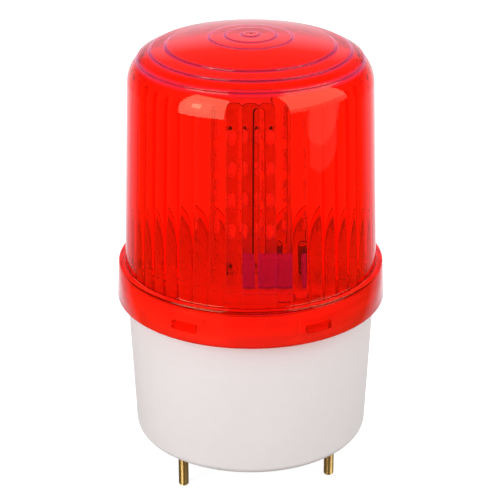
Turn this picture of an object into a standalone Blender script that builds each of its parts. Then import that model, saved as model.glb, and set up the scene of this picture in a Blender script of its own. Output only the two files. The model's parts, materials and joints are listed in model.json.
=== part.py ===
"""Flashing warning light: a white base cup, a red twist-on lens and a tower of light-emitting diodes.

Metres, +Z up. The origin is the centre of the cup's underside, which seats on a panel.
Directions around the axis are in degrees from -Y, the front, towards +X.
"""

import math

import bmesh
import bpy
from mathutils import Vector

# Clearances
SEAT_GAP = 0.0003
BOARD_CLEARANCE = 0.0009
SKIRT_CLEARANCE = 0.0027
SCREW_CLEARANCE = 0.0003
STUD_CLEARANCE = 0.0003
BAYONET_CLEARANCE = 0.0005

# Base cup
BASE_HEIGHT = 0.055
BASE_FOOT_RADIUS = 0.0438
BASE_DRAFT = 2.6
BASE_WALL = 0.0022
BASE_FLOOR = 0.0025
BASE_FOOT_ROUND = 0.003
SHOULDER_STEP = 0.0011
NECK_HEIGHT = 0.0108
NECK_WALL = 0.0023
RIM_BEVEL = 0.0004

# Lens
SKIRT_HEIGHT = 0.0142
SKIRT_WALL = 0.0021
SKIRT_DRAFT = 3.3
SKIRT_ROUND = 0.0007
LEDGE_WIDTH = 0.0024
LENS_HEIGHT = 0.0999
LENS_WALL = 0.0022
LENS_DRAFT = 2.05
SHOULDER_ROUND = 0.012
CROWN_RADIUS = 0.121
INNER_RING_RADII = (0.0033, 0.0092, 0.0149)
OUTER_RING_INSETS = (0.0136, 0.0080, 0.0031)
RING_HEIGHT = 0.0003
RING_SLOPE = 0.0002
FLUTE_COUNT = 48
FLUTE_RADIUS = 0.0065
FLUTE_FADE = 0.0012

# Lens seal
SEAL_HEIGHT = 0.001
SEAL_INSET = 0.0002

# Bayonet between lens and neck
BAYONET_COUNT = 6
BAYONET_PHASE = -29.6
BAYONET_LEDGE_WIDTH = 17.0
BAYONET_LEDGE_HEIGHT = 0.0022
BAYONET_LEDGE_DROP = 0.0042
BAYONET_STOP_WIDTH = 2.4
LUG_WIDTH = 10.6
LUG_PLAY = 0.5
LUG_HEIGHT = 0.0028

# Studs: hexagon-head bolts through the floor
STUD_COUNT = 3
STUD_PHASE = 67.9
STUD_INSET = 0.0091
STUD_RADIUS = 0.00195
STUD_REACH = 0.0182
STUD_CHAMFER = 0.0006
STUD_HEAD_WIDTH = 0.007
STUD_HEAD_HEIGHT = 0.0028
STUD_PAD_RADIUS = 0.0055
STUD_PAD_HEIGHT = 0.0015

# Main board and its posts
BOARD_THICKNESS = 0.0016
BOARD_DROP = 0.0003
POST_COUNT = 3
POST_PHASE = 33.0
POST_INSET = 0.0054
POST_RADIUS = 0.0034
POST_WEB = 0.0024
SCREW_RADIUS = 0.0013
SCREW_LENGTH = 0.008
SCREW_HEAD_RADIUS = 0.0027
SCREW_HEAD_HEIGHT = 0.002

# Tower of diodes
TOWER_WIDTH = 0.0176
TOWER_BOARD_THICKNESS = 0.0012
FIRST_ROW = 0.0172
ROW_PITCH = 0.0122
ROW_COUNT = 4
TOWER_HEAD = 0.0102
COLUMN_PITCH = 0.0088
TOWER_HOLE_RADIUS = 0.001
TOWER_HOLE_SPREAD = 0.0072
TOWER_HOLE_DROP = 0.0072
TOWER_HOLE_RISE = 0.0027
LED_RADIUS = 0.0025
LED_FLANGE_RADIUS = 0.0029
LED_FLANGE_HEIGHT = 0.0008
LED_STRAIGHT = 0.0016

# Parts on the main board: places on the board, from the axis
FILM_PLACE = (0.0075, -0.0184)
FILM_LENGTH = 0.018
FILM_WIDTH = 0.007
FILM_HEIGHT = 0.011
FILM_ROUND = 0.0006
SMOOTHING_PLACE = (0.0158, -0.0108)
SMOOTHING_RADIUS = 0.00315
SMOOTHING_HEIGHT = 0.0115
TIMING_PLACE = (-0.0046, 0.0196)
TIMING_RADIUS = 0.0025
TIMING_HEIGHT = 0.011
CAN_ROUND = 0.0007
CAN_CRIMP = 0.0004
CAN_RISE = 0.0015
CAN_LEAD_SPREAD = 0.0022
VARISTOR_INSET = 0.0068
VARISTOR_DIRECTION = 60.0
VARISTOR_RADIUS = 0.0036
VARISTOR_THICKNESS = 0.0032
VARISTOR_RISE = 0.0015
VARISTOR_TURN = -30.0
LEAD_RADIUS = 0.0004
LEAD_SPREAD = 0.005
CHIP_PLACE = (0.0042, 0.02)
CHIP_SIZE = (0.0094, 0.0062, 0.0032)
CHIP_LEGS = 4
BRIDGE_PLACE = (-0.0034, 0.028)
BRIDGE_SIZE = (0.0082, 0.0062, 0.003)
BRIDGE_LEGS = 2
LEG_WIDTH = 0.0009
LEG_THICKNESS = 0.0004
PACKAGE_RISE = 0.0008
RESISTOR_PLACE = (0.0056, 0.0312)
RESISTOR_RADIUS = 0.0017
RESISTOR_LENGTH = 0.009
RESISTOR_TURN = 0.0
RESISTOR_RISE = 0.001

# Terminal block under the main board
TERMINAL_STEP = 0.0009
TERMINAL_SIZE = (0.0104, 0.0078, 0.01)
TERMINAL_WELL_RADIUS = 0.0017
TERMINAL_WELL_DEPTH = 0.006
TERMINAL_PITCH = 0.0051

# Plug in the hole for the supply cable
INLET_DIRECTION = 173.7
INLET_CLEARANCE = 0.0019
INLET_RADIUS = 0.005
PLUG_FLANGE = 0.002
PLUG_FLANGE_HEIGHT = 0.0015
PLUG_NIPPLE_HEIGHT = 0.004

# Facets around the large and the small round pieces, the diodes and each flute
LARGE_STEPS = 60
SMALL_STEPS = 16
LED_STEPS = 8
FLUTE_STEPS = 4
DEGREES_PER_STEP = 2.5

# Sizes worked out from those above
NECK_RIM = BASE_HEIGHT + NECK_HEIGHT
BASE_TOP_RADIUS = BASE_FOOT_RADIUS + BASE_HEIGHT * math.tan(math.radians(BASE_DRAFT))
NECK_RADIUS = BASE_TOP_RADIUS - SHOULDER_STEP
NECK_BORE = NECK_RADIUS - NECK_WALL
FLOOR_BORE = BASE_FOOT_RADIUS - BASE_WALL
SEAL_BOTTOM = NECK_RIM + SEAT_GAP
WEB_UNDERSIDE = SEAL_BOTTOM + SEAL_HEIGHT + SEAT_GAP
SKIRT_TOP = BASE_HEIGHT + SKIRT_HEIGHT
SKIRT_SLOPE = math.tan(math.radians(SKIRT_DRAFT))
SKIRT_BORE = NECK_RADIUS + SKIRT_CLEARANCE
SKIRT_RADIUS = SKIRT_BORE + SKIRT_WALL
SKIRT_TOP_RADIUS = SKIRT_RADIUS - SKIRT_SLOPE * SKIRT_HEIGHT
LENS_FOOT_RADIUS = SKIRT_TOP_RADIUS - LEDGE_WIDTH
LENS_TOP = BASE_HEIGHT + LENS_HEIGHT
BOARD_TOP = NECK_RIM - BOARD_DROP
BOARD_UNDERSIDE = BOARD_TOP - BOARD_THICKNESS
BOARD_RADIUS = NECK_BORE - BOARD_CLEARANCE
POST_TOP = BOARD_UNDERSIDE - SEAT_GAP
POST_CIRCLE = NECK_BORE - POST_INSET
STUD_CIRCLE = FLOOR_BORE - STUD_INSET
INLET_CIRCLE = STUD_CIRCLE - STUD_PAD_RADIUS - INLET_RADIUS - PLUG_FLANGE - INLET_CLEARANCE
TERMINAL_PLACE = (0.0, INLET_CIRCLE + TERMINAL_STEP)
SCREW_HOLE_RADIUS = SCREW_RADIUS + SCREW_CLEARANCE
STUD_HOLE_RADIUS = STUD_RADIUS + STUD_CLEARANCE
ON_BOARD = BOARD_TOP + SEAT_GAP
ROW_LEVELS = [ON_BOARD + FIRST_ROW + row * ROW_PITCH for row in range(ROW_COUNT)]
TOWER_TOP = ROW_LEVELS[-1] + TOWER_HEAD
LUG_TOP = NECK_RIM - BAYONET_LEDGE_DROP - SEAT_GAP
LUG_BOTTOM = LUG_TOP - LUG_HEIGHT

parts = bpy.data.collections.new("warning_light")
cutters = bpy.data.collections.new("cutters")


def around(radius, degrees, height=0.0):
    """The point at a radius and a direction from the front."""
    turn = math.radians(degrees)
    return Vector((radius * math.sin(turn), -radius * math.cos(turn), height))


def directions(count, phase):
    """Evenly spaced directions around the axis."""
    return [phase + 360.0 * i / count for i in range(count)]


def new_material(name, colour, roughness, metallic=0.0, transmission=0.0):
    """A Principled material of one colour."""
    material = bpy.data.materials.new(name)
    material.use_nodes = True
    shader = material.node_tree.nodes["Principled BSDF"]
    shader.inputs["Base Color"].default_value = (*colour, 1.0)
    shader.inputs["Roughness"].default_value = roughness
    shader.inputs["Metallic"].default_value = metallic
    shader.inputs["Transmission Weight"].default_value = transmission
    material.diffuse_color = (*colour, 1.0)
    return material


def new_object(name, mesh, material=None):
    """An object in the part, or, with no material, a cutter."""
    obj = bpy.data.objects.new(name, mesh)
    if material:
        obj.data.materials.append(material)
        parts.objects.link(obj)
    else:
        obj.hide_render = True
        obj.display_type = "WIRE"
        cutters.objects.link(obj)
    return obj


def turned(name, outline, steps, material=None):
    """A turned solid: its outline runs down the outer side, from the axis back to the axis."""
    mesh = bpy.data.meshes.new(name)
    points = [(radius, 0.0, height) for radius, height in outline]
    mesh.from_pydata(points, [(i, i + 1) for i in range(len(points) - 1)], [])
    return screwed(new_object(name, mesh, material), steps)


def turned_ring(name, outline, steps, material=None):
    """A turned ring: its outline is closed, runs down its outer side and stays off the axis."""
    mesh = bpy.data.meshes.new(name)
    points = [(radius, 0.0, height) for radius, height in outline]
    mesh.from_pydata(points, [(i, (i + 1) % len(points)) for i in range(len(points))], [])
    return screwed(new_object(name, mesh, material), steps)


def screwed(obj, steps):
    """Turns an object's outline once around its Z axis."""
    screw = obj.modifiers.new("turn", "SCREW")
    screw.axis = "Z"
    screw.angle = 2.0 * math.pi
    screw.steps = steps
    screw.render_steps = steps
    screw.use_merge_vertices = True
    screw.merge_threshold = 0.00001
    screw.use_smooth_shade = True
    return obj


def box(name, size, centre, material=None):
    """A box with its edges along the axes."""
    bm = bmesh.new()
    bmesh.ops.create_cube(bm, size=1.0)
    bmesh.ops.scale(bm, vec=size, verts=bm.verts)
    mesh = bpy.data.meshes.new(name)
    bm.to_mesh(mesh)
    bm.free()
    obj = new_object(name, mesh, material)
    obj.location = centre
    return obj


def cylinder(name, radius, bottom, top, centre, material=None, steps=SMALL_STEPS):
    """An upright cylinder between two heights."""
    bm = bmesh.new()
    bmesh.ops.create_cone(
        bm, cap_ends=True, segments=steps, radius1=radius, radius2=radius, depth=top - bottom
    )
    mesh = bpy.data.meshes.new(name)
    bm.to_mesh(mesh)
    bm.free()
    mesh.shade_smooth()
    mesh.set_sharp_from_angle(angle=math.radians(40.0))
    obj = new_object(name, mesh, material)
    obj.location = (centre[0], centre[1], (bottom + top) / 2.0)
    return obj


def curved_bars(name, inner, outer, bottom, top, starts, width):
    """Bars bent around the axis, between two radii and two heights, each as wide as some degrees."""
    corners = [(inner, bottom), (outer, bottom), (outer, top), (inner, top)]
    bm = bmesh.new()
    for start in starts:
        section = [bm.verts.new(around(radius, start, height)) for radius, height in corners]
        bmesh.ops.spin(
            bm,
            geom=[bm.faces.new(section)],
            axis=(0.0, 0.0, 1.0),
            cent=(0.0, 0.0, 0.0),
            angle=math.radians(width),
            steps=max(1, round(width / DEGREES_PER_STEP)),
        )
    bmesh.ops.recalc_face_normals(bm, faces=bm.faces)
    mesh = bpy.data.meshes.new(name)
    bm.to_mesh(mesh)
    bm.free()
    return new_object(name, mesh)


def rounded(obj, width, segments=2):
    """Rounds an object's edges."""
    bevel = obj.modifiers.new("rounded edges", "BEVEL")
    bevel.width = width
    bevel.segments = segments
    bevel.limit_method = "ANGLE"
    bevel.angle_limit = math.radians(40.0)
    return obj


def combine(obj, tool, operation):
    """A Boolean of one object with a cutter."""
    boolean = obj.modifiers.new(tool.name, "BOOLEAN")
    boolean.operation = operation
    boolean.object = tool


def cut(obj, tool):
    combine(obj, tool, "DIFFERENCE")


def fuse(obj, tool):
    combine(obj, tool, "UNION")


def skirt_bore(height):
    """The radius inside the skirt at a height."""
    return SKIRT_BORE - SKIRT_SLOPE * (height - BASE_HEIGHT)


def build_base(plastic):
    """The cup: drafted wall, flat floor, neck, stud pads, board posts and the ledges of the bayonet."""
    corner = BASE_FOOT_RADIUS - BASE_FOOT_ROUND
    foot = [
        (corner + BASE_FOOT_ROUND * math.cos(a), BASE_FOOT_ROUND * (1.0 - math.sin(a)))
        for a in [math.radians(90.0 * i / 4) for i in range(5)]
    ]
    outline = [
        (0.0, BASE_FLOOR),
        (FLOOR_BORE - BASE_FLOOR, BASE_FLOOR),
        (FLOOR_BORE, 2.0 * BASE_FLOOR),
        (NECK_BORE, NECK_RIM - RIM_BEVEL),
        (NECK_BORE + RIM_BEVEL, NECK_RIM),
        (NECK_RADIUS - RIM_BEVEL, NECK_RIM),
        (NECK_RADIUS, NECK_RIM - RIM_BEVEL),
        (NECK_RADIUS, BASE_HEIGHT + SEAT_GAP),
        (BASE_TOP_RADIUS, BASE_HEIGHT - SEAT_GAP),
        *foot,
        (0.0, 0.0),
    ]
    base = turned("base_housing", outline, LARGE_STEPS, plastic)

    bottom = LUG_TOP + SEAT_GAP
    top = bottom + BAYONET_LEDGE_HEIGHT
    inner = NECK_RADIUS - NECK_WALL / 2.0
    outer = skirt_bore(top) - BAYONET_CLEARANCE
    starts = directions(BAYONET_COUNT, BAYONET_PHASE - BAYONET_LEDGE_WIDTH / 2.0)
    fuse(base, curved_bars("ledges", inner, outer, bottom, top, starts, BAYONET_LEDGE_WIDTH))
    fuse(base, curved_bars("stops", inner, outer, LUG_BOTTOM, top, starts, BAYONET_STOP_WIDTH))

    for i, direction in enumerate(directions(STUD_COUNT, STUD_PHASE), 1):
        centre = around(STUD_CIRCLE, direction)
        pad_top = BASE_FLOOR + STUD_PAD_HEIGHT
        fuse(base, cylinder(f"stud pad {i}", STUD_PAD_RADIUS, BASE_FLOOR / 2.0, pad_top, centre))
        cut(base, cylinder(f"stud hole {i}", STUD_HOLE_RADIUS, -BASE_FLOOR, 2.0 * pad_top, centre))

    for i, direction in enumerate(directions(POST_COUNT, POST_PHASE), 1):
        centre = around(POST_CIRCLE, direction)
        fuse(base, cylinder(f"post {i}", POST_RADIUS, BASE_FLOOR / 2.0, POST_TOP, centre))
        wall = FLOOR_BORE + BASE_WALL / 2.0
        web_height = POST_TOP - 2.0 * BASE_FLOOR
        web = box(
            f"web {i}",
            (POST_WEB, wall - POST_CIRCLE, web_height),
            around((wall + POST_CIRCLE) / 2.0, direction, BASE_FLOOR + web_height / 2.0),
        )
        web.rotation_euler.z = math.radians(direction)
        fuse(base, web)
        pilot_bottom = POST_TOP - SCREW_LENGTH
        cut(base, cylinder(f"pilot {i}", SCREW_HOLE_RADIUS, pilot_bottom, NECK_RIM, centre))

    inlet = around(INLET_CIRCLE, INLET_DIRECTION)
    cut(base, cylinder("inlet hole", INLET_RADIUS, -BASE_FLOOR, 2.0 * BASE_FLOOR, inlet))
    return base


def shoulder():
    """The centre of the round between the lens's wall and its crown, and the two directions where it ends."""
    draft = math.radians(LENS_DRAFT)
    outward = Vector((math.cos(draft), math.sin(draft)))
    upward = Vector((-outward.y, outward.x))
    middle = Vector((0.0, LENS_TOP - CROWN_RADIUS))
    wall_foot = Vector((LENS_FOOT_RADIUS, SKIRT_TOP))
    across = outward.dot(wall_foot - middle) - SHOULDER_ROUND
    along = math.sqrt((CROWN_RADIUS - SHOULDER_ROUND) ** 2 - across**2)
    centre = middle + outward * across + upward * along
    towards = centre - middle
    return centre, draft, math.atan2(towards.y, towards.x)


def crown_height(radius, inset):
    """The height of the smooth dome at a radius, some way in from its outer face."""
    centre, _, crown_turn = shoulder()
    crown = CROWN_RADIUS - inset
    if radius < crown * math.cos(crown_turn):
        return LENS_TOP - CROWN_RADIUS + math.sqrt(crown**2 - radius**2)
    return centre.y + math.sqrt(max(0.0, (SHOULDER_ROUND - inset) ** 2 - (radius - centre.x) ** 2))


def crown_rings():
    """The radii of the rings on the crown: some are set from its centre, the others from its edge."""
    centre, draft, _ = shoulder()
    edge = centre.x + SHOULDER_ROUND * math.cos(draft)
    return [*INNER_RING_RADII, *(edge - inset for inset in OUTER_RING_INSETS)], edge


def ring_tooth(radius):
    """How far the crown's steps lift or lower it: half a step up inside each ring, half a step down outside."""
    rings, edge = crown_rings()
    edges = [0.0, *rings, edge]
    for i in range(len(edges) - 1):
        if edges[i] <= radius <= edges[i + 1]:
            low = 0.0 if i == 0 else -RING_HEIGHT / 2.0
            high = 0.0 if i == len(edges) - 2 else RING_HEIGHT / 2.0
            share = (radius - edges[i]) / (edges[i + 1] - edges[i])
            return low + share * (high - low)
    return 0.0


def lens_wall_radius(height, inset):
    """The wall's radius at a height, some way in from its outer face."""
    draft = math.radians(LENS_DRAFT)
    return LENS_FOOT_RADIUS - inset / math.cos(draft) - (height - SKIRT_TOP) * math.tan(draft)


def lens_outline():
    """From the crown's centre down the outer side, up inside the skirt, and in under the web to the axis."""
    rings, _ = crown_rings()
    outline = [(0.0, LENS_TOP)]
    for ring in rings:
        outline.append((ring, crown_height(ring, 0.0) + RING_HEIGHT / 2.0))
        outside = ring + RING_SLOPE
        outline.append((outside, crown_height(outside, 0.0) - RING_HEIGHT / 2.0))
    centre, draft, _ = shoulder()
    last = math.acos((rings[-1] + RING_SLOPE - centre.x) / SHOULDER_ROUND)
    for i in range(1, 7):
        turn = last + (draft - last) * i / 6
        radius = centre.x + SHOULDER_ROUND * math.cos(turn)
        outline.append((radius, centre.y + SHOULDER_ROUND * math.sin(turn) + ring_tooth(radius)))
    outline += [
        (LENS_FOOT_RADIUS, SKIRT_TOP),
        (SKIRT_TOP_RADIUS - SKIRT_ROUND, SKIRT_TOP),
        (SKIRT_TOP_RADIUS + SKIRT_SLOPE * SKIRT_ROUND, SKIRT_TOP - SKIRT_ROUND),
        (SKIRT_RADIUS, BASE_HEIGHT),
        (SKIRT_BORE, BASE_HEIGHT),
        (skirt_bore(WEB_UNDERSIDE), WEB_UNDERSIDE),
        (0.0, WEB_UNDERSIDE),
    ]
    return outline


def fluted_ring(bm, radius, height, depth):
    """One ring of the lens's inner side, with the flutes standing in from it by a share of their depth."""
    half_pitch = math.radians(180.0 / FLUTE_COUNT)
    half_chord = radius * math.sin(half_pitch)
    round_centre = math.sqrt(FLUTE_RADIUS**2 - half_chord**2)
    ring = []
    for i in range(FLUTE_COUNT * FLUTE_STEPS):
        offset = (2.0 * (i % FLUTE_STEPS) / FLUTE_STEPS - 1.0) * half_chord
        rise = math.sqrt(FLUTE_RADIUS**2 - offset**2) - round_centre
        turn = math.degrees(half_pitch) * (2.0 * i / FLUTE_STEPS - 1.0)
        ring.append(bm.verts.new(around(radius - depth * rise, turn, height)))
    return ring


def lens_hollow():
    """The space inside the lens: fluted up the wall, smooth under the crown."""
    bm = bmesh.new()
    centre, draft, crown_turn = shoulder()
    inner_round = SHOULDER_ROUND - LENS_WALL
    flutes_top = centre.y + inner_round * math.sin(draft) - FLUTE_FADE
    rings = [
        fluted_ring(bm, lens_wall_radius(height, LENS_WALL), height, 1.0)
        for height in (NECK_RIM, flutes_top)
    ]
    for share in (0.0, 0.5, 1.0):
        turn = draft + (crown_turn - draft) * share
        radius = centre.x + inner_round * math.cos(turn)
        rings.append(fluted_ring(bm, radius, centre.y + inner_round * math.sin(turn), 0.0))
    middle_radius = CROWN_RADIUS * math.cos(crown_turn) / 2.0
    rings.append(fluted_ring(bm, middle_radius, crown_height(middle_radius, LENS_WALL), 0.0))
    for lower, upper in zip(rings, rings[1:]):
        for i in range(len(lower)):
            j = (i + 1) % len(lower)
            bm.faces.new((lower[i], lower[j], upper[j], upper[i]))
    top = bm.verts.new((0.0, 0.0, LENS_TOP - LENS_WALL))
    for i in range(len(rings[-1])):
        bm.faces.new((rings[-1][i], rings[-1][(i + 1) % len(rings[-1])], top))
    bm.faces.new(list(reversed(rings[0])))
    bmesh.ops.recalc_face_normals(bm, faces=bm.faces)
    mesh = bpy.data.meshes.new("lens hollow")
    bm.to_mesh(mesh)
    bm.free()
    return new_object("lens hollow", mesh)


def build_lens(red):
    """The dome and its skirt, with the fluted hollow, and the bayonet's lugs inside the skirt."""
    lens = turned("lens", lens_outline(), LARGE_STEPS, red)
    cut(lens, lens_hollow())
    inner = NECK_RADIUS + BAYONET_CLEARANCE
    outer = SKIRT_BORE + SKIRT_WALL / 3.0
    first = BAYONET_PHASE - BAYONET_LEDGE_WIDTH / 2.0 + BAYONET_STOP_WIDTH + LUG_PLAY
    starts = directions(BAYONET_COUNT, first)
    fuse(lens, curved_bars("lugs", inner, outer, LUG_BOTTOM, LUG_TOP, starts, LUG_WIDTH))
    return lens


def build_seal(rubber):
    """The flat ring that the lens presses on the neck's rim."""
    inner = NECK_BORE + SEAL_INSET
    outer = NECK_RADIUS - SEAL_INSET
    top = SEAL_BOTTOM + SEAL_HEIGHT
    outline = [(inner, top), (outer, top), (outer, SEAL_BOTTOM), (inner, SEAL_BOTTOM)]
    return turned_ring("lens_seal", outline, LARGE_STEPS, rubber)


def build_studs(plated):
    """Bolts whose heads seat on pads inside the cup and whose threads stand out below it."""
    seat = BASE_FLOOR + STUD_PAD_HEIGHT + SEAT_GAP
    tip = -STUD_REACH
    outline = [
        (0.0, seat + STUD_HEAD_HEIGHT / 2.0),
        (STUD_RADIUS, seat + STUD_HEAD_HEIGHT / 2.0),
        (STUD_RADIUS, tip + STUD_CHAMFER),
        (STUD_RADIUS - STUD_CHAMFER, tip),
        (0.0, tip),
    ]
    head_radius = STUD_HEAD_WIDTH / 2.0 / math.cos(math.radians(30.0))
    for i, direction in enumerate(directions(STUD_COUNT, STUD_PHASE), 1):
        centre = around(STUD_CIRCLE, direction)
        bolt = turned(f"mounting_bolt_{i}", outline, SMALL_STEPS, plated)
        bolt.location = centre
        head = cylinder(f"hexagon {i}", head_radius, seat, seat + STUD_HEAD_HEIGHT, centre, steps=6)
        fuse(bolt, head)


def build_main_board(laminate, plated):
    """The round board on its posts, and the screws that hold it."""
    board = cylinder(
        "main_board", BOARD_RADIUS, BOARD_UNDERSIDE, BOARD_TOP, (0.0, 0.0), laminate, LARGE_STEPS
    )
    seat = BOARD_TOP + SEAT_GAP
    shank_bottom = seat - SCREW_LENGTH + SEAT_GAP
    screw_outline = [
        (0.0, seat + SCREW_HEAD_HEIGHT),
        (0.6 * SCREW_HEAD_RADIUS, seat + 0.85 * SCREW_HEAD_HEIGHT),
        (SCREW_HEAD_RADIUS, seat + 0.4 * SCREW_HEAD_HEIGHT),
        (SCREW_HEAD_RADIUS, seat),
        (SCREW_RADIUS, seat),
        (SCREW_RADIUS, shank_bottom + SCREW_RADIUS),
        (0.0, shank_bottom),
    ]
    for i, direction in enumerate(directions(POST_COUNT, POST_PHASE), 1):
        centre = around(POST_CIRCLE, direction)
        hole = cylinder(f"board hole {i}", SCREW_HOLE_RADIUS, POST_TOP, 2.0 * BOARD_TOP - POST_TOP, centre)
        cut(board, hole)
        screw = turned(f"board_screw_{i}", screw_outline, SMALL_STEPS, plated)
        screw.location = centre


def build_led(name, lamp, face, side, height, turn):
    """A domed diode standing out from a tower board: side is across the board, face is outwards."""
    outline = [(0.0, LED_FLANGE_HEIGHT + LED_STRAIGHT + LED_RADIUS)]
    for degrees in (60.0, 30.0, 0.0):
        a = math.radians(degrees)
        rise = LED_FLANGE_HEIGHT + LED_STRAIGHT + LED_RADIUS * math.sin(a)
        outline.append((LED_RADIUS * math.cos(a), rise))
    outline += [
        (LED_RADIUS, LED_FLANGE_HEIGHT),
        (LED_FLANGE_RADIUS, LED_FLANGE_HEIGHT),
        (LED_FLANGE_RADIUS, 0.0),
        (0.0, 0.0),
    ]
    led = turned(name, outline, LED_STEPS, lamp)
    across = around(1.0, turn + 90.0) * side
    led.location = around(face, turn) + across + Vector((0.0, 0.0, height))
    led.rotation_euler = (math.radians(90.0), 0.0, math.radians(turn))


def build_tower(laminate, lamp):
    """Four boards on edge around the axis, each overlapping the next one's end, with two columns of diodes."""
    width = TOWER_WIDTH - TOWER_BOARD_THICKNESS - SEAT_GAP
    height = TOWER_TOP - ON_BOARD
    shift = (TOWER_WIDTH - width) / 2.0
    face = TOWER_WIDTH / 2.0
    for side, turn in zip(("front", "right", "back", "left"), (0.0, 90.0, 180.0, 270.0)):
        across = around(1.0, turn + 90.0)
        middle = around(face - TOWER_BOARD_THICKNESS / 2.0, turn, ON_BOARD + height / 2.0)
        board = box(
            f"led_board_{side}", (width, TOWER_BOARD_THICKNESS, height), middle - across * shift, laminate
        )
        board.rotation_euler.z = math.radians(turn)
        holes = (
            (-TOWER_HOLE_SPREAD / 2.0, TOWER_TOP - TOWER_HOLE_DROP),
            (TOWER_HOLE_SPREAD / 2.0, TOWER_TOP - TOWER_HOLE_DROP),
            (-TOWER_HOLE_SPREAD / 2.0, ON_BOARD + TOWER_HOLE_RISE),
        )
        for i, (place, level) in enumerate(holes, 1):
            hole = cylinder(
                f"{side} hole {i}",
                TOWER_HOLE_RADIUS,
                -TOWER_BOARD_THICKNESS,
                TOWER_BOARD_THICKNESS,
                (0.0, 0.0),
                steps=LED_STEPS,
            )
            hole.location = around(face - TOWER_BOARD_THICKNESS / 2.0, turn, level) + across * place
            hole.rotation_euler = (math.radians(90.0), 0.0, math.radians(turn))
            cut(board, hole)
        for row, level in enumerate(ROW_LEVELS):
            for column in (0, 1):
                build_led(
                    f"led_{side}_{2 * row + column + 1}",
                    lamp,
                    face + SEAT_GAP,
                    (column - 0.5) * COLUMN_PITCH,
                    level,
                    turn,
                )


def build_can(name, place, radius, height, sleeve):
    """An electrolytic capacitor: a can with a rolled groove near its foot, on its two leads."""
    groove = 2.5 * CAN_ROUND
    outline = [
        (0.0, height),
        (radius - CAN_ROUND, height),
        (radius, height - CAN_ROUND),
        (radius, 2.0 * groove),
        (radius - CAN_CRIMP, 1.5 * groove),
        (radius, groove),
        (radius, CAN_ROUND),
        (radius - CAN_ROUND, 0.0),
        (0.0, 0.0),
    ]
    can = turned(name, outline, SMALL_STEPS, sleeve)
    can.location = (*place, ON_BOARD + CAN_RISE)
    for i, sign in enumerate((-1.0, 1.0), 1):
        lead_place = (place[0] + sign * CAN_LEAD_SPREAD / 2.0, place[1])
        lead_top = ON_BOARD + CAN_RISE + CAN_ROUND
        fuse(can, cylinder(f"{name} lead {i}", LEAD_RADIUS, ON_BOARD, lead_top, lead_place, steps=8))


def build_varistor(ceramic):
    """A coated disc on edge, on its two leads."""
    half = VARISTOR_THICKNESS / 2.0
    edge = half / 2.0
    outline = [
        (0.0, half),
        (VARISTOR_RADIUS - edge, half),
        (VARISTOR_RADIUS, half - edge),
        (VARISTOR_RADIUS, edge - half),
        (VARISTOR_RADIUS - edge, -half),
        (0.0, -half),
    ]
    disc = turned("varistor", outline, SMALL_STEPS, ceramic)
    centre_height = ON_BOARD + VARISTOR_RISE + VARISTOR_RADIUS
    centre = around(BOARD_RADIUS - VARISTOR_INSET, VARISTOR_DIRECTION)
    disc.location = (centre.x, centre.y, centre_height)
    disc.rotation_euler = (math.radians(90.0), 0.0, math.radians(VARISTOR_TURN))
    for i, sign in enumerate((-1.0, 1.0), 1):
        place = centre + around(1.0, VARISTOR_TURN + 90.0) * sign * LEAD_SPREAD / 2.0
        fuse(disc, cylinder(f"varistor lead {i}", LEAD_RADIUS, ON_BOARD, centre_height, place, steps=8))


def build_package(name, place, size, legs, plastic):
    """A chip or bridge: a block with a row of legs down each long side."""
    length, width, height = size
    bottom = ON_BOARD + PACKAGE_RISE
    block = box(name, size, (*place, bottom + height / 2.0), plastic)
    pitch = length / legs
    leg_top = bottom + height / 2.0
    for side in (-1.0, 1.0):
        for i in range(legs):
            leg = box(
                f"{name} leg {side} {i}",
                (LEG_WIDTH, 2.0 * LEG_THICKNESS, leg_top - ON_BOARD),
                (
                    place[0] + (i + 0.5 - legs / 2.0) * pitch,
                    place[1] + side * width / 2.0,
                    (leg_top + ON_BOARD) / 2.0,
                ),
            )
            fuse(block, leg)


def build_resistor(ceramic):
    """A resistor lying over the board on its two bent leads."""
    half = RESISTOR_LENGTH / 2.0
    waist = 0.85 * RESISTOR_RADIUS
    end = 0.2 * RESISTOR_LENGTH
    outline = [
        (0.0, half),
        (0.7 * RESISTOR_RADIUS, half),
        (RESISTOR_RADIUS, half - end / 2.0),
        (waist, half - end),
        (waist, end - half),
        (RESISTOR_RADIUS, end / 2.0 - half),
        (0.7 * RESISTOR_RADIUS, -half),
        (0.0, -half),
    ]
    body = turned("dropper_resistor", outline, SMALL_STEPS, ceramic)
    level = ON_BOARD + RESISTOR_RISE + RESISTOR_RADIUS
    body.location = (*RESISTOR_PLACE, level)
    body.rotation_euler = (math.radians(90.0), 0.0, math.radians(RESISTOR_TURN))
    along = around(1.0, RESISTOR_TURN)
    reach = half + 3.0 * LEAD_RADIUS
    for i, sign in enumerate((-1.0, 1.0), 1):
        end_point = Vector((*RESISTOR_PLACE, level)) + along * sign * reach
        fuse(body, cylinder(f"resistor leg {i}", LEAD_RADIUS, ON_BOARD, level, end_point, steps=8))
        rail = cylinder(f"resistor lead {i}", LEAD_RADIUS, -reach / 2.0, reach / 2.0, (0.0, 0.0), steps=8)
        rail.location = Vector((*RESISTOR_PLACE, level)) + along * sign * reach / 2.0
        rail.rotation_euler = body.rotation_euler
        fuse(body, rail)


def build_terminal_block(plastic):
    """A two-way screw terminal that hangs under the main board, with its wells open below."""
    top = BOARD_UNDERSIDE - SEAT_GAP
    bottom = top - TERMINAL_SIZE[2]
    block = box("terminal_block", TERMINAL_SIZE, (*TERMINAL_PLACE, (top + bottom) / 2.0), plastic)
    rounded(block, SEAT_GAP, 1)
    for i, side in enumerate((-1.0, 1.0), 1):
        place = (TERMINAL_PLACE[0] + side * TERMINAL_PITCH / 2.0, TERMINAL_PLACE[1])
        well_top = bottom + TERMINAL_WELL_DEPTH
        cut(block, cylinder(f"well {i}", TERMINAL_WELL_RADIUS, bottom - SEAT_GAP, well_top, place, steps=12))


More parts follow.
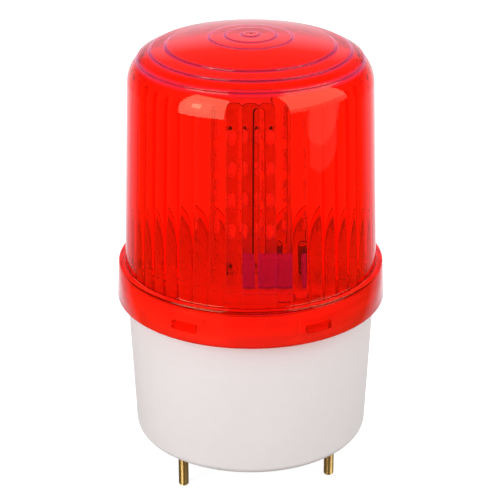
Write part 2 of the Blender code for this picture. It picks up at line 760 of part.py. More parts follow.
def build_inlet_plug(rubber):
    """The plug: a flange on the cup's floor, a shank in the hole and a closed nipple on top."""
    shank = INLET_RADIUS - SEAT_GAP
    flange = INLET_RADIUS + PLUG_FLANGE
    seat = BASE_FLOOR + SEAT_GAP
    top = seat + PLUG_FLANGE_HEIGHT
    outline = [
        (0.0, top + PLUG_NIPPLE_HEIGHT),
        (0.35 * shank, top + PLUG_NIPPLE_HEIGHT),
        (0.7 * shank, top),
        (flange, top),
        (flange, seat),
        (shank, seat),
        (shank, SEAT_GAP),
        (0.0, SEAT_GAP),
    ]
    plug = turned("inlet_plug", outline, SMALL_STEPS, rubber)
    plug.location = around(INLET_CIRCLE, INLET_DIRECTION)


def build_electronics(laminate, plated, ceramic):
    """What stands on the main board."""
    film = new_material("film capacitor case", (0.12, 0.1, 0.5), 0.35)
    sleeve = new_material("capacitor sleeve", (0.03, 0.03, 0.035), 0.35)
    black = new_material("black moulding", (0.025, 0.025, 0.025), 0.5)
    film_centre = (*FILM_PLACE, ON_BOARD + FILM_HEIGHT / 2.0)
    rounded(box("film_capacitor", (FILM_LENGTH, FILM_WIDTH, FILM_HEIGHT), film_centre, film), FILM_ROUND)
    build_can("smoothing_capacitor", SMOOTHING_PLACE, SMOOTHING_RADIUS, SMOOTHING_HEIGHT, sleeve)
    build_can("timing_capacitor", TIMING_PLACE, TIMING_RADIUS, TIMING_HEIGHT, sleeve)
    build_package("flasher_chip", CHIP_PLACE, CHIP_SIZE, CHIP_LEGS, black)
    build_package("bridge_rectifier", BRIDGE_PLACE, BRIDGE_SIZE, BRIDGE_LEGS, black)
    build_varistor(ceramic)
    build_resistor(ceramic)
    build_main_board(laminate, plated)
    build_terminal_block(new_material("green moulding", (0.05, 0.3, 0.12), 0.45))


def main():
    for obj in list(bpy.data.objects):
        bpy.data.objects.remove(obj, do_unlink=True)
    for collection in (parts, cutters):
        bpy.context.scene.collection.children.link(collection)

    red = new_material("clear red", (0.9, 0.02, 0.01), 0.05, transmission=0.9)
    white = new_material("white moulding", (0.82, 0.79, 0.78), 0.45)
    zinc = new_material("yellow zinc", (0.62, 0.45, 0.2), 0.3, metallic=1.0)
    steel = new_material("bright zinc", (0.7, 0.7, 0.72), 0.3, metallic=1.0)
    silicone = new_material("silicone rubber", (0.85, 0.84, 0.82), 0.6)
    black_rubber = new_material("black rubber", (0.03, 0.03, 0.03), 0.7)
    laminate = new_material("white laminate", (0.75, 0.76, 0.74), 0.4)
    lamp = new_material("clear resin", (0.9, 0.85, 0.82), 0.1, transmission=0.6)
    ceramic = new_material("coated ceramic", (0.75, 0.35, 0.3), 0.4)

    build_base(white)
    build_lens(red)
    build_seal(silicone)
    build_studs(zinc)
    build_inlet_plug(black_rubber)
    build_electronics(laminate, steel, ceramic)
    build_tower(laminate, lamp)


main()
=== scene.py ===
import json
from math import acos, asin, atan2, cos, degrees, hypot, pi, radians, sin, sqrt, tan, tau

import bmesh
import bpy
from mathutils import Matrix, Vector

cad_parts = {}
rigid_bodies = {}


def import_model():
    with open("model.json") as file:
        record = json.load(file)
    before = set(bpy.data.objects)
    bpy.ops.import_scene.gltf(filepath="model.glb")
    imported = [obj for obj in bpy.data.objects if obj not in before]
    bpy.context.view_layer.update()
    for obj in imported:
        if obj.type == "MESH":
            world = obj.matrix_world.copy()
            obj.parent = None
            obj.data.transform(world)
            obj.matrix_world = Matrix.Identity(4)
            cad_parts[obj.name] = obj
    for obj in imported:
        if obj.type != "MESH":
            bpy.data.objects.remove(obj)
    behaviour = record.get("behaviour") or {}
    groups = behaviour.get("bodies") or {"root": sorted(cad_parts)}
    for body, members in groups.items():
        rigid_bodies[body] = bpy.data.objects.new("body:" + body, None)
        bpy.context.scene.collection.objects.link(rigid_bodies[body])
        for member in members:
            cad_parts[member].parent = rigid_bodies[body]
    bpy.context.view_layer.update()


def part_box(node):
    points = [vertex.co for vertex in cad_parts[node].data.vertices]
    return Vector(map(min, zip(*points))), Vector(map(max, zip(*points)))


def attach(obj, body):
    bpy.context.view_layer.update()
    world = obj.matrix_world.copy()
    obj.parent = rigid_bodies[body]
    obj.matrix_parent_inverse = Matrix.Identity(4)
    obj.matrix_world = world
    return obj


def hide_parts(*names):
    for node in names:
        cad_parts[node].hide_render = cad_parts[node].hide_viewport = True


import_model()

# Metres, +Z up. Directions around the axis are in degrees from -Y, the front, towards +X.
shift = Matrix.Translation

# Base cup
BASE_HEIGHT = 0.055
BASE_FOOT_RADIUS = 0.0438
BASE_TOP_RADIUS = BASE_FOOT_RADIUS + BASE_HEIGHT * tan(radians(2.6))
BASE_FLOOR = 0.0025
FOOT_ROUND = 0.003
NECK_RADIUS = BASE_TOP_RADIUS - 0.0011
NECK_BORE = NECK_RADIUS - 0.0023
NECK_RIM = BASE_HEIGHT + 0.0108
FLOOR_BORE = BASE_FOOT_RADIUS - 0.0022
SEAT_GAP = 0.0003
PANEL_LEVEL = -0.0182

# Lens
SEAL_BOTTOM = NECK_RIM + SEAT_GAP
SEAL_HEIGHT = 0.001
WEB_UNDERSIDE = SEAL_BOTTOM + SEAL_HEIGHT + SEAT_GAP
SKIRT_HEIGHT = 0.0142
SKIRT_TOP = BASE_HEIGHT + SKIRT_HEIGHT
SKIRT_SLOPE = tan(radians(3.3))
SKIRT_BORE = NECK_RADIUS + 0.0027
SKIRT_RADIUS = SKIRT_BORE + 0.0021
SKIRT_TOP_RADIUS = SKIRT_RADIUS - SKIRT_SLOPE * SKIRT_HEIGHT
LENS_FOOT_RADIUS = SKIRT_TOP_RADIUS - 0.0024
LENS_TOP = BASE_HEIGHT + 0.0999
LENS_WALL = 0.0022
LENS_DRAFT = radians(2.05)
SHOULDER_ROUND = 0.012
CROWN_RADIUS = 0.121
INNER_RINGS = (0.0033, 0.0092, 0.0149)
OUTER_RINGS = (0.0304, 0.0361, 0.0407)
RING_SPAN = 0.05
RING_HEIGHTS = (0.0002, 0.0002, 0.0002, 0.0006, 0.0006, 0.0005)
RING_SOFTNESS = 0.0008
# Half width of the painted shade and sheen along each ring step.
PAINTED_RING_HALF_WIDTH = 0.0011
FLUTE_COUNT = 48
FLUTE_RADIUS = 0.0065
COLUMNS_PER_FLUTE = 12
LENS_COLUMNS = FLUTE_COUNT * COLUMNS_PER_FLUTE

# Bayonet
LEDGE_CENTRES = [-29.6 + 60 * i for i in range(6)]
LEDGE_WIDTH = 17
LUG_TOP = NECK_RIM - 0.0042 - SEAT_GAP
LUG_BOTTOM = LUG_TOP - 0.0028
LUG_WIDTH = 10.6
STOP_WIDTH = 2.4
LUG_STARTS = [centre - LEDGE_WIDTH / 2 + STOP_WIDTH + 0.5 for centre in LEDGE_CENTRES]

# Studs, posts and boards
STUD_DIRECTIONS = [67.9 + 120 * i for i in range(3)]
STUD_CIRCLE = FLOOR_BORE - 0.0091
STUD_RADIUS = 0.00195
SCREW_HOLE = 0.0016
POST_DIRECTIONS = [33 + 120 * i for i in range(3)]
POST_CIRCLE = NECK_BORE - 0.0054
BOARD_TOP = NECK_RIM - 0.0003
BOARD_THICKNESS = 0.0016
BOARD_RADIUS = NECK_BORE - 0.0009
ON_BOARD = BOARD_TOP + SEAT_GAP
CAN_RISE = 0.0015
PAD_RADIUS = 0.0055
PAD_RISE = 0.0015
INLET_RADIUS = 0.005
PLUG_FLANGE = 0.002
INLET_CIRCLE = STUD_CIRCLE - PAD_RADIUS - INLET_RADIUS - PLUG_FLANGE - 0.0019
INLET_DIRECTION = 173.7
ROW_LEVELS = [ON_BOARD + 0.0172 + 0.0122 * i for i in range(4)]
TOWER_TOP = ROW_LEVELS[-1] + 0.0102
TOWER_WIDTH = 0.0176
TOWER_BOARD = 0.0012
DIODE_ACROSS = 0.0044
WIRE_ACROSS = -0.0012
WIRE_STAND = 0.0056

# Studio
SHOULDER_LEVEL = BASE_HEIGHT + 0.083
FILL = 0.38
PURE_WHITE = (1, 1, 1)


def around(radius, direction, height=0):
    """The point at a radius and a direction from the front."""
    turn = radians(direction)
    return Vector((radius * sin(turn), -radius * cos(turn), height))


# Materials

def new_material(name):
    material = bpy.data.materials.new(name)
    material.use_nodes = True
    return material


def shader_of(material):
    return material.node_tree.nodes["Principled BSDF"]


def supply(socket, value):
    """Gives a socket a number, a colour or another node's output."""
    if isinstance(value, bpy.types.NodeSocket):
        socket.id_data.links.new(value, socket)
    elif socket.type == "RGBA":
        socket.default_value = (*value, 1)
    else:
        socket.default_value = value


def feed(node, **inputs):
    """Supplies a node's inputs, whose names have _ for a space."""
    for name, value in inputs.items():
        supply(node.inputs[name.replace("_", " ")], value)
    return node


def added(tree, kind, **inputs):
    """A new node with its inputs supplied."""
    return feed(tree.nodes.new("ShaderNode" + kind), **inputs)


def reckoned(tree, kind, operation, *values):
    """A new Math or VectorMath node with its inputs supplied in order."""
    node = added(tree, kind)
    node.operation = operation
    for socket, value in zip(node.inputs, values):
        supply(socket, value)
    return node


def chosen(tree, factor, first, second):
    """A colour that goes from a first to a second as a factor goes from 0 to 1."""
    mix = added(tree, "Mix")
    mix.data_type = "RGBA"
    for index, value in ((0, factor), (6, first), (7, second)):
        supply(mix.inputs[index], value)
    return mix.outputs[2]


def graded(tree, factor, stops):
    """A colour that goes through stops (position, colour) as a factor goes from 0 to 1."""
    ramp = added(tree, "ValToRGB", Fac=factor)
    elements = ramp.color_ramp.elements
    elements.remove(elements[1])
    elements[0].position = stops[0][0]
    elements[0].color = (*stops[0][1], 1)
    for position, colour in stops[1:]:
        elements.new(position).color = (*colour, 1)
    return ramp.outputs["Color"]


def noise(tree, scale, detail):
    place = added(tree, "TexCoord").outputs["Object"]
    return added(tree, "TexNoise", Scale=scale, Detail=detail, Vector=place).outputs["Fac"]


def worked(shader, cloud, roughness, spread, grain, strength, depth):
    """An uneven polish and a fine relief on a shader."""
    tree = shader.id_data
    smooth, rough = roughness * (1 - spread), roughness * (1 + spread)
    polish = added(tree, "MapRange", Value=cloud, To_Min=smooth, To_Max=rough)
    relief = added(tree, "Bump", Height=grain, Strength=strength, Distance=depth)
    feed(shader, Roughness=polish.outputs["Result"], Normal=relief.outputs["Normal"])


def plastic(name, colour, roughness, grain=900, bump=0.02, mottle=0.03, **values):
    """A material with a faint mottled colour, an uneven polish and a fine grain."""
    material = new_material(name)
    tree = material.node_tree
    cloud = noise(tree, grain / 12, 3)
    dark, pale = ([min(1, c * share) for c in colour] for share in (1 - mottle, 1 + mottle))
    feed(shader_of(material), Base_Color=graded(tree, cloud, ((0.3, dark), (0.7, pale))), **values)
    worked(shader_of(material), cloud, roughness, 0.15, noise(tree, grain, 2), bump, 0.0002)
    return material


def glass(name, colour, shadow, roughness, **values):
    """A clear moulding: refracting to the eye, a plain tint to light that passes it."""
    material = new_material(name)
    tree = material.node_tree
    shader = feed(shader_of(material), Base_Color=colour, **values)
    flow = noise(tree, 60, 1)
    worked(shader, flow, roughness, 0.4, flow, 0.02, 0.0005)
    tint = added(tree, "BsdfTransparent", Color=shadow)
    mix = added(tree, "MixShader", Fac=added(tree, "LightPath").outputs["Is Shadow Ray"])
    supply(mix.inputs[1], shader.outputs["BSDF"])
    supply(mix.inputs[2], tint.outputs["BSDF"])
    feed(tree.nodes["Material Output"], Surface=mix.outputs["Shader"])
    return material


def dye(material, colour, density):
    """Colours a clear moulding in depth."""
    tree = material.node_tree
    absorption = added(tree, "VolumeAbsorption", Color=colour, Density=density)
    feed(tree.nodes["Material Output"], Volume=absorption.outputs["Volume"])


def paint_ring_shade_and_sheen(material, plain, ring_shade_tone, painted_sheen_tint):
    """Painted shade and a painted sheen along the ring steps on the crown's outer face."""
    tree = material.node_tree
    place = added(tree, "TexCoord").outputs["Object"]
    flat = reckoned(tree, "VectorMath", "MULTIPLY", place, (1 / RING_SPAN, 1 / RING_SPAN, 0))
    radius = reckoned(tree, "VectorMath", "LENGTH", flat.outputs["Vector"])
    stops = [(0, 0)]
    for ring in (*INNER_RINGS, *OUTER_RINGS):
        stops += [(ring - PAINTED_RING_HALF_WIDTH, 0), (ring, 1), (ring + PAINTED_RING_HALF_WIDTH, 0)]
    stops = [(position / RING_SPAN, (level, level, level)) for position, level in stops]
    middle = (0, 0, LENS_TOP - CROWN_RADIUS)
    reach = reckoned(tree, "VectorMath", "DISTANCE", place, middle).outputs["Value"]
    inner_face = CROWN_RADIUS - LENS_WALL + 0.0001
    outside = reckoned(tree, "Math", "GREATER_THAN", reach, inner_face).outputs["Value"]
    painted_ring_mask = graded(tree, radius.outputs["Value"], stops)
    painted_ring_mask = reckoned(tree, "Math", "MULTIPLY", painted_ring_mask, outside).outputs["Value"]
    # The painted shade tone goes into the base colour, and the same mask drives a painted sheen.
    colour = chosen(tree, painted_ring_mask, plain, ring_shade_tone)
    feed(shader_of(material), Base_Color=colour, Sheen_Weight=painted_ring_mask, Sheen_Roughness=0.6, Sheen_Tint=painted_sheen_tint)


LENS_PLAIN = (1, 0.3, 0.25)
LENS_RED = glass("clear red", LENS_PLAIN, (1.08, 0.8, 1), 0.02, Transmission_Weight=1, IOR=1.49)
feed(shader_of(LENS_RED), Specular_Tint=(1, 0.95, 0.6))
dye(LENS_RED, (0.995, 0.28, 0.07), 700)
# Painted shade (a dark purple tone) and a painted sheen along the crown's ring steps.
paint_ring_shade_and_sheen(LENS_RED, LENS_PLAIN, (0.65, 0.04, 0.75), (0.25, 0.12, 0.35))
WHITE = plastic("white moulding", (0.77, 0.72, 0.715), 0.42, 2600, 0.05, 0.008)
# A brighter copy of the white moulding: painted light on the neck seen through the skirt.
NECK_WHITE_PAINTED_LIGHT = plastic("white moulding with painted light", (0.93, 0.9, 0.88), 0.42, 2600, 0.05, 0.008)
SILICONE = plastic("pale silicone", (0.8, 0.79, 0.77), 0.6, 1500, 0.1)
YELLOW_ZINC = plastic("yellow zinc", (0.62, 0.42, 0.16), 0.32, 1200, 0.1, 0.15, Metallic=1)
BRIGHT_ZINC = plastic("bright zinc", (0.72, 0.72, 0.74), 0.3, 1500, 0.08, 0.06, Metallic=1)
TIN = plastic("tin", (0.75, 0.75, 0.76), 0.25, 2000, 0.1, 0.05, Metallic=1)
ALUMINIUM = plastic("bare aluminium", (0.8, 0.81, 0.82), 0.35, 2000, 0.1, 0.04, Metallic=1)
BLACK_RUBBER = plastic("black rubber", (0.03, 0.03, 0.03), 0.65, 1200, 0.15, 0.1)
LAMINATE = plastic("lacquered laminate", (0.78, 0.66, 0.4), 0.42, 1600, 0.05, 0.03)
# A darker copy of the laminate for the diode boards: painted shade inside the dome.
TOWER_LAMINATE_PAINTED_SHADE = plastic("laminate with painted shade", (0.68, 0.54, 0.3), 0.42, 1600, 0.05, 0.03)
CUT_EDGE = plastic("cut laminate", (0.85, 0.68, 0.4), 0.7, 2500, 0.3, 0.06)
# Black, for the upward faces of the front diode board.
BLACK_FRONT_TOP = plastic("black top faces", (0.03, 0.03, 0.03), 0.6, 2500, 0.2, 0.1)
LID_WHITE = plastic("white lid", (0.97, 0.96, 0.95), 0.5, 1600, 0.03, 0.01)
FILM_CASE_PAINTED_GLOW = plastic("blue case with painted glow", (0.38, 0.12, 0.95), 0.3, 1200, 0.06, 0.04)
# Painted glow: a faint blue emission on the case, which is no lamp.
feed(shader_of(FILM_CASE_PAINTED_GLOW), Emission_Color=(0, 0, 1), Emission_Strength=0.4)
POTTING = plastic("potting resin", (0.12, 0.1, 0.6), 0.2, 500, 0.3, 0.1)
SLEEVE = plastic("shrunk sleeve", (0.13, 0.06, 0.35), 0.3, 700, 0.1, 0.1)
WIRE_BLACK = plastic("black wire", (0.02, 0.02, 0.025), 0.4, 900, 0.1, 0.1)
SLEEVE_STRIPE = plastic("sleeve stripe", (0.6, 0.6, 0.58), 0.35, 700, 0.1, 0.04)
COATING = plastic("dipped coating", (0.62, 0.24, 0.18), 0.3, 600, 0.25, 0.05)
RESISTOR_COAT = plastic("sand coating", (0.68, 0.5, 0.3), 0.35, 800, 0.1, 0.05)
BLACK_MOULDING = plastic("black moulding", (0.03, 0.03, 0.032), 0.5, 1500, 0.2, 0.1)
GREEN = plastic("green moulding", (0.05, 0.3, 0.12), 0.4, 1500, 0.08, 0.04)
COPPER = plastic("lacquered copper", (0.62, 0.6, 0.45), 0.35, 1500, 0.05, 0.04)
RESIN = glass("clear resin", (1, 0.94, 0.9), (0.95, 0.85, 0.85), 0.06, Transmission_Weight=0.5, IOR=1.54)


# Meshes

def linked(name, mesh):
    """A new object in the scene."""
    obj = bpy.data.objects.new(name, mesh)
    bpy.context.scene.collection.objects.link(obj)
    return obj


def meshed(bm, name="scratch"):
    mesh = bpy.data.meshes.new(name)
    bm.to_mesh(mesh)
    bm.free()
    return mesh


def finished(mesh, material=None, name="scratch", angle=30):
    """An object of a mesh, shaded smooth but for its sharp edges."""
    mesh.shade_smooth()
    mesh.set_sharp_from_angle(angle=radians(angle))
    if material:
        mesh.materials.append(material)
    return linked(name, mesh)


def skin(rings, material, name="scratch", closed=False, angle=30):
    """A skin over rings of equally many points, the first and last of which may be a single point."""
    vertices = []
    starts = []
    for ring in rings:
        starts.append(len(vertices))
        vertices += [tuple(point) for point in ring]
    faces = []
    pairs = list(zip(range(len(rings)), range(1, len(rings))))
    if closed:
        pairs.append((len(rings) - 1, 0))
    for upper, lower in pairs:
        count = max(len(rings[upper]), len(rings[lower]))
        for i in range(count):
            j = (i + 1) % count
            face = []
            for row, columns in ((upper, (i, j)), (lower, (j, i))):
                if len(rings[row]) == 1:
                    face.append(starts[row])
                else:
                    face += [starts[row] + column for column in columns]
            faces.append(tuple(reversed(face)))
    mesh = bpy.data.meshes.new(name)
    mesh.from_pydata(vertices, [], faces)
    mesh.validate()
    return finished(mesh, material, name, angle)


def rounded_outline(corners, steps=4, closed=False):
    """An outline whose corners (radius, height, round) are replaced with arcs of their own round."""
    outline = []
    count = len(corners)
    for i, corner in enumerate(corners):
        here = Vector(corner[:2])
        size = corner[2] if len(corner) > 2 else 0
        if size <= 0 or (not closed and i in (0, count - 1)):
            outline.append(tuple(here))
            continue
        back = (Vector(corners[i - 1][:2]) - here).normalized()
        ahead = (Vector(corners[(i + 1) % count][:2]) - here).normalized()
        half = acos(max(-1, min(1, back.dot(ahead)))) / 2
        reach = size / tan(half)
        centre = here + (back + ahead).normalized() * size / sin(half)
        start = here + back * reach - centre
        end = here + ahead * reach - centre
        sweep = atan2(start.x * end.y - start.y * end.x, start.dot(end))
        for k in range(steps + 1):
            turn = Matrix.Rotation(sweep * k / steps, 2)
            outline.append(tuple(centre + turn @ start))
    return outline


def tip(height):
    """A ring that is a single point on the axis."""
    return [Vector((0, 0, height))]


def ring_of(radius, height, columns, phase=0):
    """Points around the axis at a radius and a height."""
    if radius <= 1e-9:
        return tip(height)
    return [around(radius, phase + 360 * i / columns, height) for i in range(columns)]


def turned(outline, columns, material, name="scratch", closed=False):
    """A turned solid, whose outline runs down the outer side."""
    rings = [ring_of(radius, height, columns) for radius, height in outline]
    return skin(rings, material, name, closed)


def box(size, centre=(0, 0, 0), material=None, bevel=0, segments=2, name="scratch"):
    """A box with rounded edges."""
    bm = bmesh.new()
    bmesh.ops.create_cube(bm, size=1)
    bmesh.ops.scale(bm, vec=size, verts=bm.verts)
    if bevel:
        bmesh.ops.bevel(bm, geom=bm.edges[:], offset=bevel, segments=segments, profile=0.5, affect="EDGES")
    bmesh.ops.translate(bm, vec=centre, verts=bm.verts)
    return finished(meshed(bm, name), material, name)


def plate(name, width, height, thickness, corner, material):
    """An upright plate around its middle that faces the front, with two round upper corners."""
    x = width / 2
    z = height / 2
    outline = rounded_outline([(x, z, corner), (-x, z, corner), (-x, -z), (x, -z)], 6, closed=True)
    y = thickness / 2
    faces = [[Vector((along, side, level)) for along, level in outline] for side in (-y, y)]
    return skin([[Vector((0, -y, 0))], *faces, [Vector((0, y, 0))]], material, name)


def rod(radius, bottom, top, centre, material=None, columns=32):
    """An upright cylinder between two heights."""
    obj = turned([(0, top), (radius, top), (radius, bottom), (0, bottom)], columns, material)
    return moved(obj, shift((centre[0], centre[1], 0)))


def curved_bar(inner, outer, bottom, top, start, width):
    """A bar bent around the axis, between two radii, two heights and two directions."""
    steps = max(2, round(width))
    corners = ((inner, bottom), (outer, bottom), (outer, top), (inner, top))
    bm = bmesh.new()
    sections = []
    for i in range(steps + 1):
        turn = start + width * i / steps
        sections.append([bm.verts.new(around(radius, turn, height)) for radius, height in corners])
    for here, ahead in zip(sections, sections[1:]):
        for i in range(4):
            j = (i + 1) % 4
            bm.faces.new((here[i], here[j], ahead[j], ahead[i]))
    bm.faces.new(sections[0])
    bm.faces.new(list(reversed(sections[-1])))
    bmesh.ops.recalc_face_normals(bm, faces=bm.faces)
    return finished(meshed(bm))


def tube(points, radius, material, sides, name="scratch"):
    """A round wire through some points, as a mesh."""
    rings = []
    for i, point in enumerate(points):
        before = points[max(0, i - 1)]
        after = points[min(len(points) - 1, i + 1)]
        along = (after - before).normalized()
        across = along.orthogonal().normalized()
        if rings:
            across = (previous - along * previous.dot(along)).normalized()
        previous = across
        other = along.cross(across)
        turns = [tau * k / sides for k in range(sides)]
        rings.append([point + radius * (across * cos(turn) + other * sin(turn)) for turn in turns])
    rings = [[points[0]], *rings, [points[-1]]]
    return skin(rings, material, name)


def combined(obj, tools, operation="DIFFERENCE"):
    """Applies a Boolean of one object with several tools, and removes them."""
    group = bpy.data.collections.new(obj.name + " tools")
    bpy.context.scene.collection.children.link(group)
    for tool in tools:
        for collection in list(tool.users_collection):
            collection.objects.unlink(tool)
        group.objects.link(tool)
    boolean = obj.modifiers.new("combine", "BOOLEAN")
    boolean.operation = operation
    boolean.operand_type = "COLLECTION"
    boolean.collection = group
    boolean.solver = "EXACT"
    bpy.context.view_layer.update()
    mesh = bpy.data.meshes.new_from_object(obj.evaluated_get(bpy.context.evaluated_depsgraph_get()))
    obj.modifiers.remove(boolean)
    obj.data = mesh
    for tool in list(group.objects):
        bpy.data.objects.remove(tool, do_unlink=True)
    bpy.data.collections.remove(group)
    mesh.shade_smooth()
    mesh.set_sharp_from_angle(angle=radians(30))
    return obj


def joined(name, pieces):
    """One object of several, which keep their materials."""
    materials = []
    bm = bmesh.new()
    for piece in pieces:
        slots = []
        for material in piece.data.materials:
            if material not in materials:
                materials.append(material)
            slots.append(materials.index(material))
        part = bmesh.new()
        part.from_mesh(piece.data)
        part.transform(piece.matrix_basis)
        for face in part.faces:
            face.material_index = slots[face.material_index] if slots else 0
        scratch = meshed(part)
        bm.from_mesh(scratch)
        bpy.data.meshes.remove(scratch)
    for piece in pieces:
        bpy.data.objects.remove(piece, do_unlink=True)
    mesh = meshed(bm, name)
    for material in materials:
        mesh.materials.append(material)
    return linked(name, mesh)


def spin(turn, axis):
    """A turn of some degrees around an axis."""
    return Matrix.Rotation(radians(turn), 4, axis)


def moved(obj, matrix):
    """Moves an object's mesh."""
    obj.data.transform(matrix)
    return obj


def placed(obj, slot, *nodes, body="base"):
    """Makes a piece ride on a body and hides the CAD nodes that it stands for. The slot, a finish name, is
    not used.
    """
    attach(obj, body)
    if nodes:
        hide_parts(*nodes)
    return obj


# Lens

def shoulder():
    """The centre of the round between wall and crown, and the direction where the crown begins."""
    outward = Vector((cos(LENS_DRAFT), sin(LENS_DRAFT)))
    upward = Vector((-outward.y, outward.x))
    middle = Vector((0, LENS_TOP - CROWN_RADIUS))
    across = outward.dot(Vector((LENS_FOOT_RADIUS, SKIRT_TOP)) - middle) - SHOULDER_ROUND
    along = sqrt((CROWN_RADIUS - SHOULDER_ROUND) ** 2 - across**2)
    centre = middle + outward * across + upward * along
    return centre, atan2(centre.y - middle.y, centre.x - middle.x)


def crown_height(radius, inset):
    """The height of the smooth dome at a radius, some way in from its outer face."""
    centre, crown_turn = shoulder()
    crown = CROWN_RADIUS - inset
    if radius < crown * cos(crown_turn):
        return LENS_TOP - CROWN_RADIUS + sqrt(crown**2 - radius**2)
    return centre.y + sqrt(max(0, (SHOULDER_ROUND - inset) ** 2 - (radius - centre.x) ** 2))


def wall_radius(height, inset):
    """The wall's radius at a height, some way in from its outer face."""
    return LENS_FOOT_RADIUS - inset / cos(LENS_DRAFT) - (height - SKIRT_TOP) * tan(LENS_DRAFT)


def flute_rise(column, radius):
    """How far a flute stands in at a column of the grid: highest at its middle, nothing between two."""
    share = ((column + COLUMNS_PER_FLUTE // 2) % COLUMNS_PER_FLUTE) / COLUMNS_PER_FLUTE * 2 - 1
    half_chord = radius * sin(pi / FLUTE_COUNT)
    return sqrt(FLUTE_RADIUS**2 - (share * half_chord) ** 2) - sqrt(FLUTE_RADIUS**2 - half_chord**2)


def ring_lift(along, rings, length):
    """How far the crown's soft steps lift the outer face, at a distance along it from the middle."""
    lift = 0
    edges = [0, *rings, length]
    steps = [0, *RING_HEIGHTS, 0]
    for i, (low, high) in enumerate(zip(edges, edges[1:])):
        if low <= along <= high:
            first, last = -steps[i] / 2, steps[i + 1] / 2
            lift = first + (last - first) * (along - low) / (high - low)
    for ring, height in zip(rings, RING_HEIGHTS):
        reach = (along - ring) / RING_SOFTNESS
        if abs(reach) < 1:
            lift += height / 2 * ((1 if reach > 0 else -1) - sin(pi / 2 * reach))
    return lift


def outer_outline():
    """The lens's outer side from the crown's centre down to the skirt's lower edge."""
    centre, crown_turn = shoulder()
    crown_length = CROWN_RADIUS * (pi / 2 - crown_turn)
    length = crown_length + SHOULDER_ROUND * (crown_turn - LENS_DRAFT)
    rings = [CROWN_RADIUS * asin(radius / CROWN_RADIUS) for radius in (*INNER_RINGS, *OUTER_RINGS[:2])]
    last_turn = acos((OUTER_RINGS[2] - centre.x) / SHOULDER_ROUND)
    rings.append(crown_length + SHOULDER_ROUND * (crown_turn - last_turn))
    places = [0.0016, *(length * i / 40 for i in range(2, 41))]
    places = [place for place in places if all(abs(place - ring) > 1.2 * RING_SOFTNESS for ring in rings)]
    places += [ring + RING_SOFTNESS * i / 5 for ring in rings for i in range(-5, 6)]
    outline = [(0, LENS_TOP - 0.0003), (0.00025, LENS_TOP - 0.0003), (0.0005, LENS_TOP + 0.00004)]
    outline.append((0.0009, LENS_TOP))
    for along in sorted(places):
        if along < crown_length:
            turn = pi / 2 - along / CROWN_RADIUS
            middle, radius = Vector((0, LENS_TOP - CROWN_RADIUS)), CROWN_RADIUS
        else:
            turn = crown_turn - (along - crown_length) / SHOULDER_ROUND
            middle, radius = centre, SHOULDER_ROUND
        radius += ring_lift(along, rings, length)
        outline.append((middle.x + radius * cos(turn), middle.y + radius * sin(turn)))
    foot = centre.y + SHOULDER_ROUND * sin(LENS_DRAFT)
    levels = (foot - 0.0003, foot - 0.001, 0.13, 0.11, 0.09, 0.075, 0.0725)
    wall = [(wall_radius(height, 0), height) for height in levels]
    outline += wall[:-1]
    outline += rounded_outline([
        wall[-1],
        (LENS_FOOT_RADIUS, SKIRT_TOP, 0.0005), (SKIRT_TOP_RADIUS, SKIRT_TOP, 0.0007),
        (SKIRT_RADIUS - 0.00001, BASE_HEIGHT + 0.0003, 0), (SKIRT_RADIUS - 0.0003, BASE_HEIGHT, 0),
    ], 5)
    return outline


def build_lens():
    """The dome and its skirt in one closed skin: smooth outside, fluted inside, lugs in the skirt."""
    rings = [ring_of(radius, height, LENS_COLUMNS) for radius, height in outer_outline()]
    bore = [(SKIRT_BORE + 0.0002, BASE_HEIGHT), (SKIRT_BORE, BASE_HEIGHT + 0.0002)]
    lug_columns = set()
    for start in LUG_STARTS:
        first = round(start / 360 * LENS_COLUMNS)
        last = round((start + LUG_WIDTH) / 360 * LENS_COLUMNS)
        lug_columns.update(column % LENS_COLUMNS for column in range(first, last + 1))

    def bore_radius(height):
        return SKIRT_BORE - SKIRT_SLOPE * (height - BASE_HEIGHT)

    for radius, height in bore:
        rings.append(ring_of(radius, height, LENS_COLUMNS))
    lug_rows = ((LUG_BOTTOM, 0), (LUG_BOTTOM + 0.0001, 1), (LUG_TOP - 0.0001, 1), (LUG_TOP, 0))
    for height, share in lug_rows:
        rings.append([
            around(
                NECK_RADIUS + 0.0005 if share and column in lug_columns else bore_radius(height),
                360 * column / LENS_COLUMNS,
                height,
            )
            for column in range(LENS_COLUMNS)
        ])
    rings.append(ring_of(bore_radius(WEB_UNDERSIDE - 0.0006), WEB_UNDERSIDE - 0.0006, LENS_COLUMNS))
    rings.append(ring_of(bore_radius(WEB_UNDERSIDE) - 0.0003, WEB_UNDERSIDE - 0.0001, LENS_COLUMNS))
    rings.append(ring_of(bore_radius(WEB_UNDERSIDE) - 0.0008, WEB_UNDERSIDE, LENS_COLUMNS))

    centre, crown_turn = shoulder()
    inner_round = SHOULDER_ROUND - LENS_WALL
    flutes_top = centre.y + inner_round * sin(LENS_DRAFT)
    levels = [(WEB_UNDERSIDE, 1)]
    levels += [(WEB_UNDERSIDE + 0.002 + (flutes_top - WEB_UNDERSIDE - 0.002) * i / 6, 1) for i in range(7)]
    levels.insert(-1, (flutes_top - 0.0003, 1))
    rows = [(wall_radius(height, LENS_WALL), height, share) for height, share in levels]
    for i in range(1, 21):
        turn = LENS_DRAFT + (crown_turn - LENS_DRAFT) * i / 20
        share = cos(pi / 2 * min(1, max(0, (i - 3) / 6))) ** 2
        rows.append((centre.x + inner_round * cos(turn), centre.y + inner_round * sin(turn), share))
    last = rows[-1][0]
    for i in range(1, 10):
        radius = last * (1 - i / 10)
        rows.append((radius, crown_height(radius, LENS_WALL), 0))
    for radius, height, share in rows:
        rings.append([
            around(radius - share * flute_rise(column, radius), 360 * column / LENS_COLUMNS, height)
            for column in range(LENS_COLUMNS)
        ])
    rings.append(tip(LENS_TOP - LENS_WALL))
    lens = skin(rings, LENS_RED, "red_lens", angle=60)
    placed(lens, "lens", "lens", body="lens")


# Base

